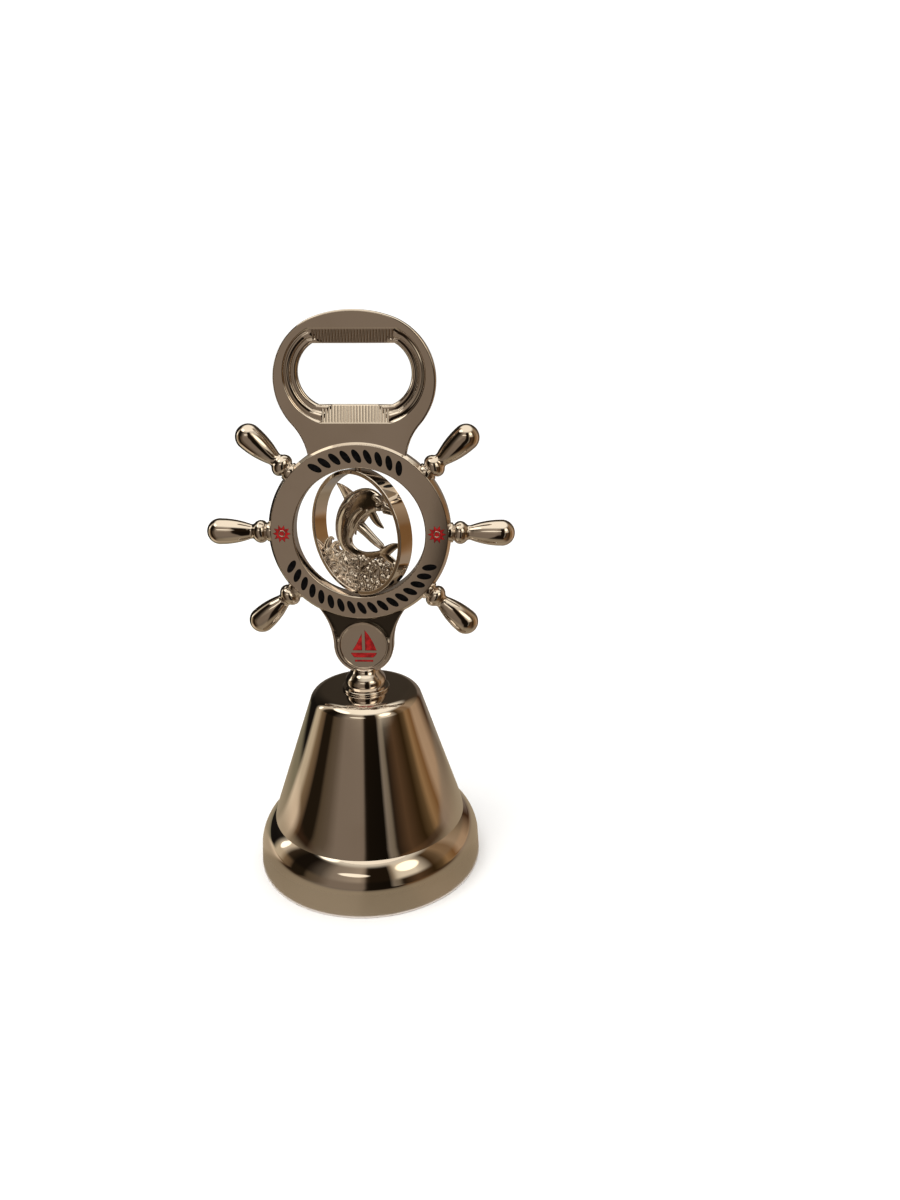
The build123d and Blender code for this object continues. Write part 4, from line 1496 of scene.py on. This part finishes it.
# %% The painted room
# Azimuth 0 is in front of the bell, 90 at its right and -90 at its left. Each row is one upright
# strip of the room, with its colour on the table, at the bell's height, and high up.
TABLE, WALL_MIDDLE, WALL_TOP = 1, 2, 3
CARDS = [
    (-180, (140, 132, 122), (125, 115, 104), (66, 58, 48)),
    (-135, (140, 132, 108), (30, 27, 23), (40, 36, 30)),
    (-110, (138, 130, 106), (24, 21, 18), (30, 26, 21)),
    (-103, (236, 216, 186), (214, 198, 168), (232, 218, 194)),
    (-95, (230, 208, 178), (208, 190, 160), (226, 210, 184)),
    (-88, (232, 210, 180), (134, 112, 84), (60, 48, 35)),
    (-80, (104, 80, 56), (104, 84, 62), (40, 32, 22)),
    (-76, (60, 42, 28), (36, 28, 18), (26, 20, 14)),
    (-62, (50, 36, 24), (36, 28, 18), (26, 20, 14)),
    (-57, (86, 70, 54), (90, 76, 58), (48, 40, 32)),
    (-45, (112, 100, 84), (104, 90, 74), (92, 82, 70)),
    (-33, (130, 117, 102), (136, 121, 105), (150, 136, 119)),
    (-5, (132, 119, 104), (138, 123, 107), (176, 160, 140)),
    (-1, (128, 115, 100), (134, 119, 103), (150, 134, 116)),
    (2, (40, 30, 22), (40, 32, 24), (60, 48, 36)),
    (5, (26, 17, 11), (26, 20, 13), (34, 25, 16)),
    (24, (26, 17, 11), (22, 17, 11), (34, 25, 16)),
    (28, (30, 19, 12), (140, 128, 112), (150, 134, 112)),
    (33, (64, 46, 30), (130, 118, 100), (236, 222, 196)),
    (37, (108, 80, 52), (44, 33, 22), (250, 236, 210)),
    (52, (108, 80, 52), (92, 68, 46), (250, 236, 210)),
    (70, (76, 56, 38), (54, 38, 18), (70, 50, 28)),
    (80, (86, 67, 48), (100, 78, 50), (112, 90, 64)),
    (87, (112, 92, 70), (160, 126, 86), (150, 122, 90)),
    (97, (160, 140, 120), (132, 95, 57), (140, 112, 82)),
    (106, (164, 144, 122), (190, 160, 128), (176, 152, 124)),
    (119, (154, 136, 114), (186, 156, 124), (160, 138, 110)),
    (141, (128, 112, 94), (64, 40, 20), (70, 58, 46)),
    (152, (148, 136, 120), (128, 114, 101), (66, 58, 48)),
    (180, (140, 132, 122), (125, 115, 104), (66, 58, 48)),
]
NEAR_TABLE = painted(172, 156, 130)
OVERHEAD = painted(240, 230, 210)
ROOM_RADIUS, ROOM_TOP = 1.3, 1.9


def bare_material(name):
    """A material without a shader, its node tree, and object coordinates."""
    material = bpy.data.materials.new(name)
    material.use_nodes = True
    tree = material.node_tree
    tree.nodes.clear()
    return material, tree, added(tree, "ShaderNodeTexCoord").outputs["Object"]


def shining(tree, colour, strength=1.0):
    """Plain light of a colour."""
    return added(tree, "ShaderNodeEmission", {"Color": colour, "Strength": strength}).outputs["Emission"]


def card_ramp(tree, azimuth, level):
    """The strips' colours at one level, laid out by azimuth."""
    ramp = added(tree, "ShaderNodeValToRGB", {"Fac": azimuth})
    stops = ramp.color_ramp.elements
    while len(stops) < len(CARDS):
        stops.new(0.5)
    for stop, row in zip(stops, CARDS):
        stop.position = row[0] / 360 + 0.5
    for stop, row in zip(stops, CARDS):
        stop.color = (*painted(*row[level]), 1.0)
    return ramp.outputs["Color"]


def room_finish(name, colour_at, strength=1.0):
    """Light whose colour depends on the azimuth from 0 to 1 and on the axes."""
    material, tree, coords = bare_material(name)
    axes = split(tree, coords)
    ahead = vector(tree, times(tree, axes["Y"], -1), axes["X"])
    round_about = added(tree, "ShaderNodeTexGradient", {"Vector": ahead}, gradient_type="RADIAL")
    light = shining(tree, colour_at(tree, round_about.outputs["Fac"], axes), strength)
    added(tree, "ShaderNodeOutputMaterial", {"Surface": light})
    return material


def wall_colour(tree, azimuth, axes):
    """The walls change to their upper colours above the bell, and all fade into the ceiling."""
    high_share = mapped(tree, axes["Z"], 0.20, 0.42)
    walls = [card_ramp(tree, azimuth, level) for level in (WALL_MIDDLE, WALL_TOP)]
    return blended(tree, mapped(tree, axes["Z"], 1.25, 1.80), blended(tree, high_share, *walls), OVERHEAD)


def table_colour(tree, azimuth, axes):
    """The table is pale beside the bell, and carries the walls' strips on further out."""
    distance = from_axis(tree, axes)
    near = blended(tree, mapped(tree, distance, 0.05, 0.11, 0.22, 1.0), NEAR_TABLE,
                   card_ramp(tree, azimuth, TABLE))
    return blended(tree, mapped(tree, distance, 0.12, 0.19), near, card_ramp(tree, azimuth, WALL_MIDDLE))


def ceiling_colour(tree, azimuth, axes):
    """One pale colour all over."""
    return OVERHEAD


def card(name, azimuth, elevation, width, height, colour, strength):
    """A soft-edged oval card that faces the bell from a metre away, seen by reflections only."""
    material, tree, coords = bare_material(name)
    oval = scaled(tree, coords, (2 / width, 2 / height, 1))
    spot = added(tree, "ShaderNodeTexGradient", {"Vector": oval}, gradient_type="SPHERICAL")
    edge = added(tree, "ShaderNodeMixShader", {
        "Fac": mapped(tree, spot.outputs["Fac"], 0.0, 0.3),
        1: added(tree, "ShaderNodeBsdfTransparent").outputs["BSDF"],
        2: shining(tree, colour, strength),
    })
    added(tree, "ShaderNodeOutputMaterial", {"Surface": edge.outputs["Shader"]})
    corners = [(x * width / 2, y * height / 2, 0) for x, y in ((-1, -1), (1, -1), (1, 1), (-1, 1))]
    thing = staged(name, corners, [(0, 1, 2, 3)], material)
    az, el = math.radians(azimuth), math.radians(elevation)
    away = Vector((math.sin(az) * math.cos(el), -math.cos(az) * math.cos(el), math.sin(el)))
    thing.location = Vector((0, 0, 0.07)) + away
    thing.rotation_euler = away.to_track_quat("Z", "Y").to_euler()
    only_in_reflections(thing)


only_in_reflections(swept("walls", (ROOM_RADIUS, -0.02), (ROOM_RADIUS, ROOM_TOP),
                          room_finish("walls", wall_colour), 128))
only_in_reflections(swept("ceiling_card", (0.0001, ROOM_TOP), (1.35, ROOM_TOP),
                          room_finish("ceiling_card", ceiling_colour, 1.5)))
only_in_reflections(swept("table_card", (0.0281, 0.0004), (1.35, 0.0004),
                          room_finish("table_card", table_colour)))
card("window_left", -100, 17, 0.14, 0.40, painted(255, 244, 222), 2.2)
card("window_above_left", -68, 54, 0.70, 0.36, painted(255, 244, 222), 2.2)
card("window_right", 47, 33, 0.46, 0.44, painted(255, 238, 208), 2.4)
card("lamp_above_front", -12, 26, 0.60, 0.16, painted(255, 244, 222), 1.5)
print("cards:", len(CARDS), "tones round the drum")

# %% [markdown]
# ## Camera
# The camera stands a little above the wheel, slightly to the right, and looks down on the bell
# through a short lens, as a telephone's camera does. It is near enough for the perspective to show.

# %% Camera
CAMERA_AT = Vector((27.65, -192.46, 131.96)) * MM
YAW, PITCH, ROLL = math.radians(2.12), math.radians(18.34), math.radians(-0.2)
camera_data = bpy.data.cameras.new("camera")
camera_data.lens = 25.95
camera_data.sensor_width = 36.0
camera_data.clip_start = 0.005
camera = shown("camera", camera_data)
camera.location = CAMERA_AT
looking = Matrix.Rotation(YAW, 4, "Z") @ Matrix.Rotation(math.pi / 2 - PITCH, 4, "X")
camera.rotation_euler = (looking @ Matrix.Rotation(ROLL, 4, "Z")).to_euler()
bpy.context.scene.camera = camera
bpy.context.scene.view_settings.view_transform = "Standard"
print("camera lens", camera_data.lens, "mm")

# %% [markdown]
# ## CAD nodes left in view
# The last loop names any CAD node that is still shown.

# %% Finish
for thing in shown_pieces():
    if "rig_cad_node" in thing:
        print("CAD node still shown:", thing.name)
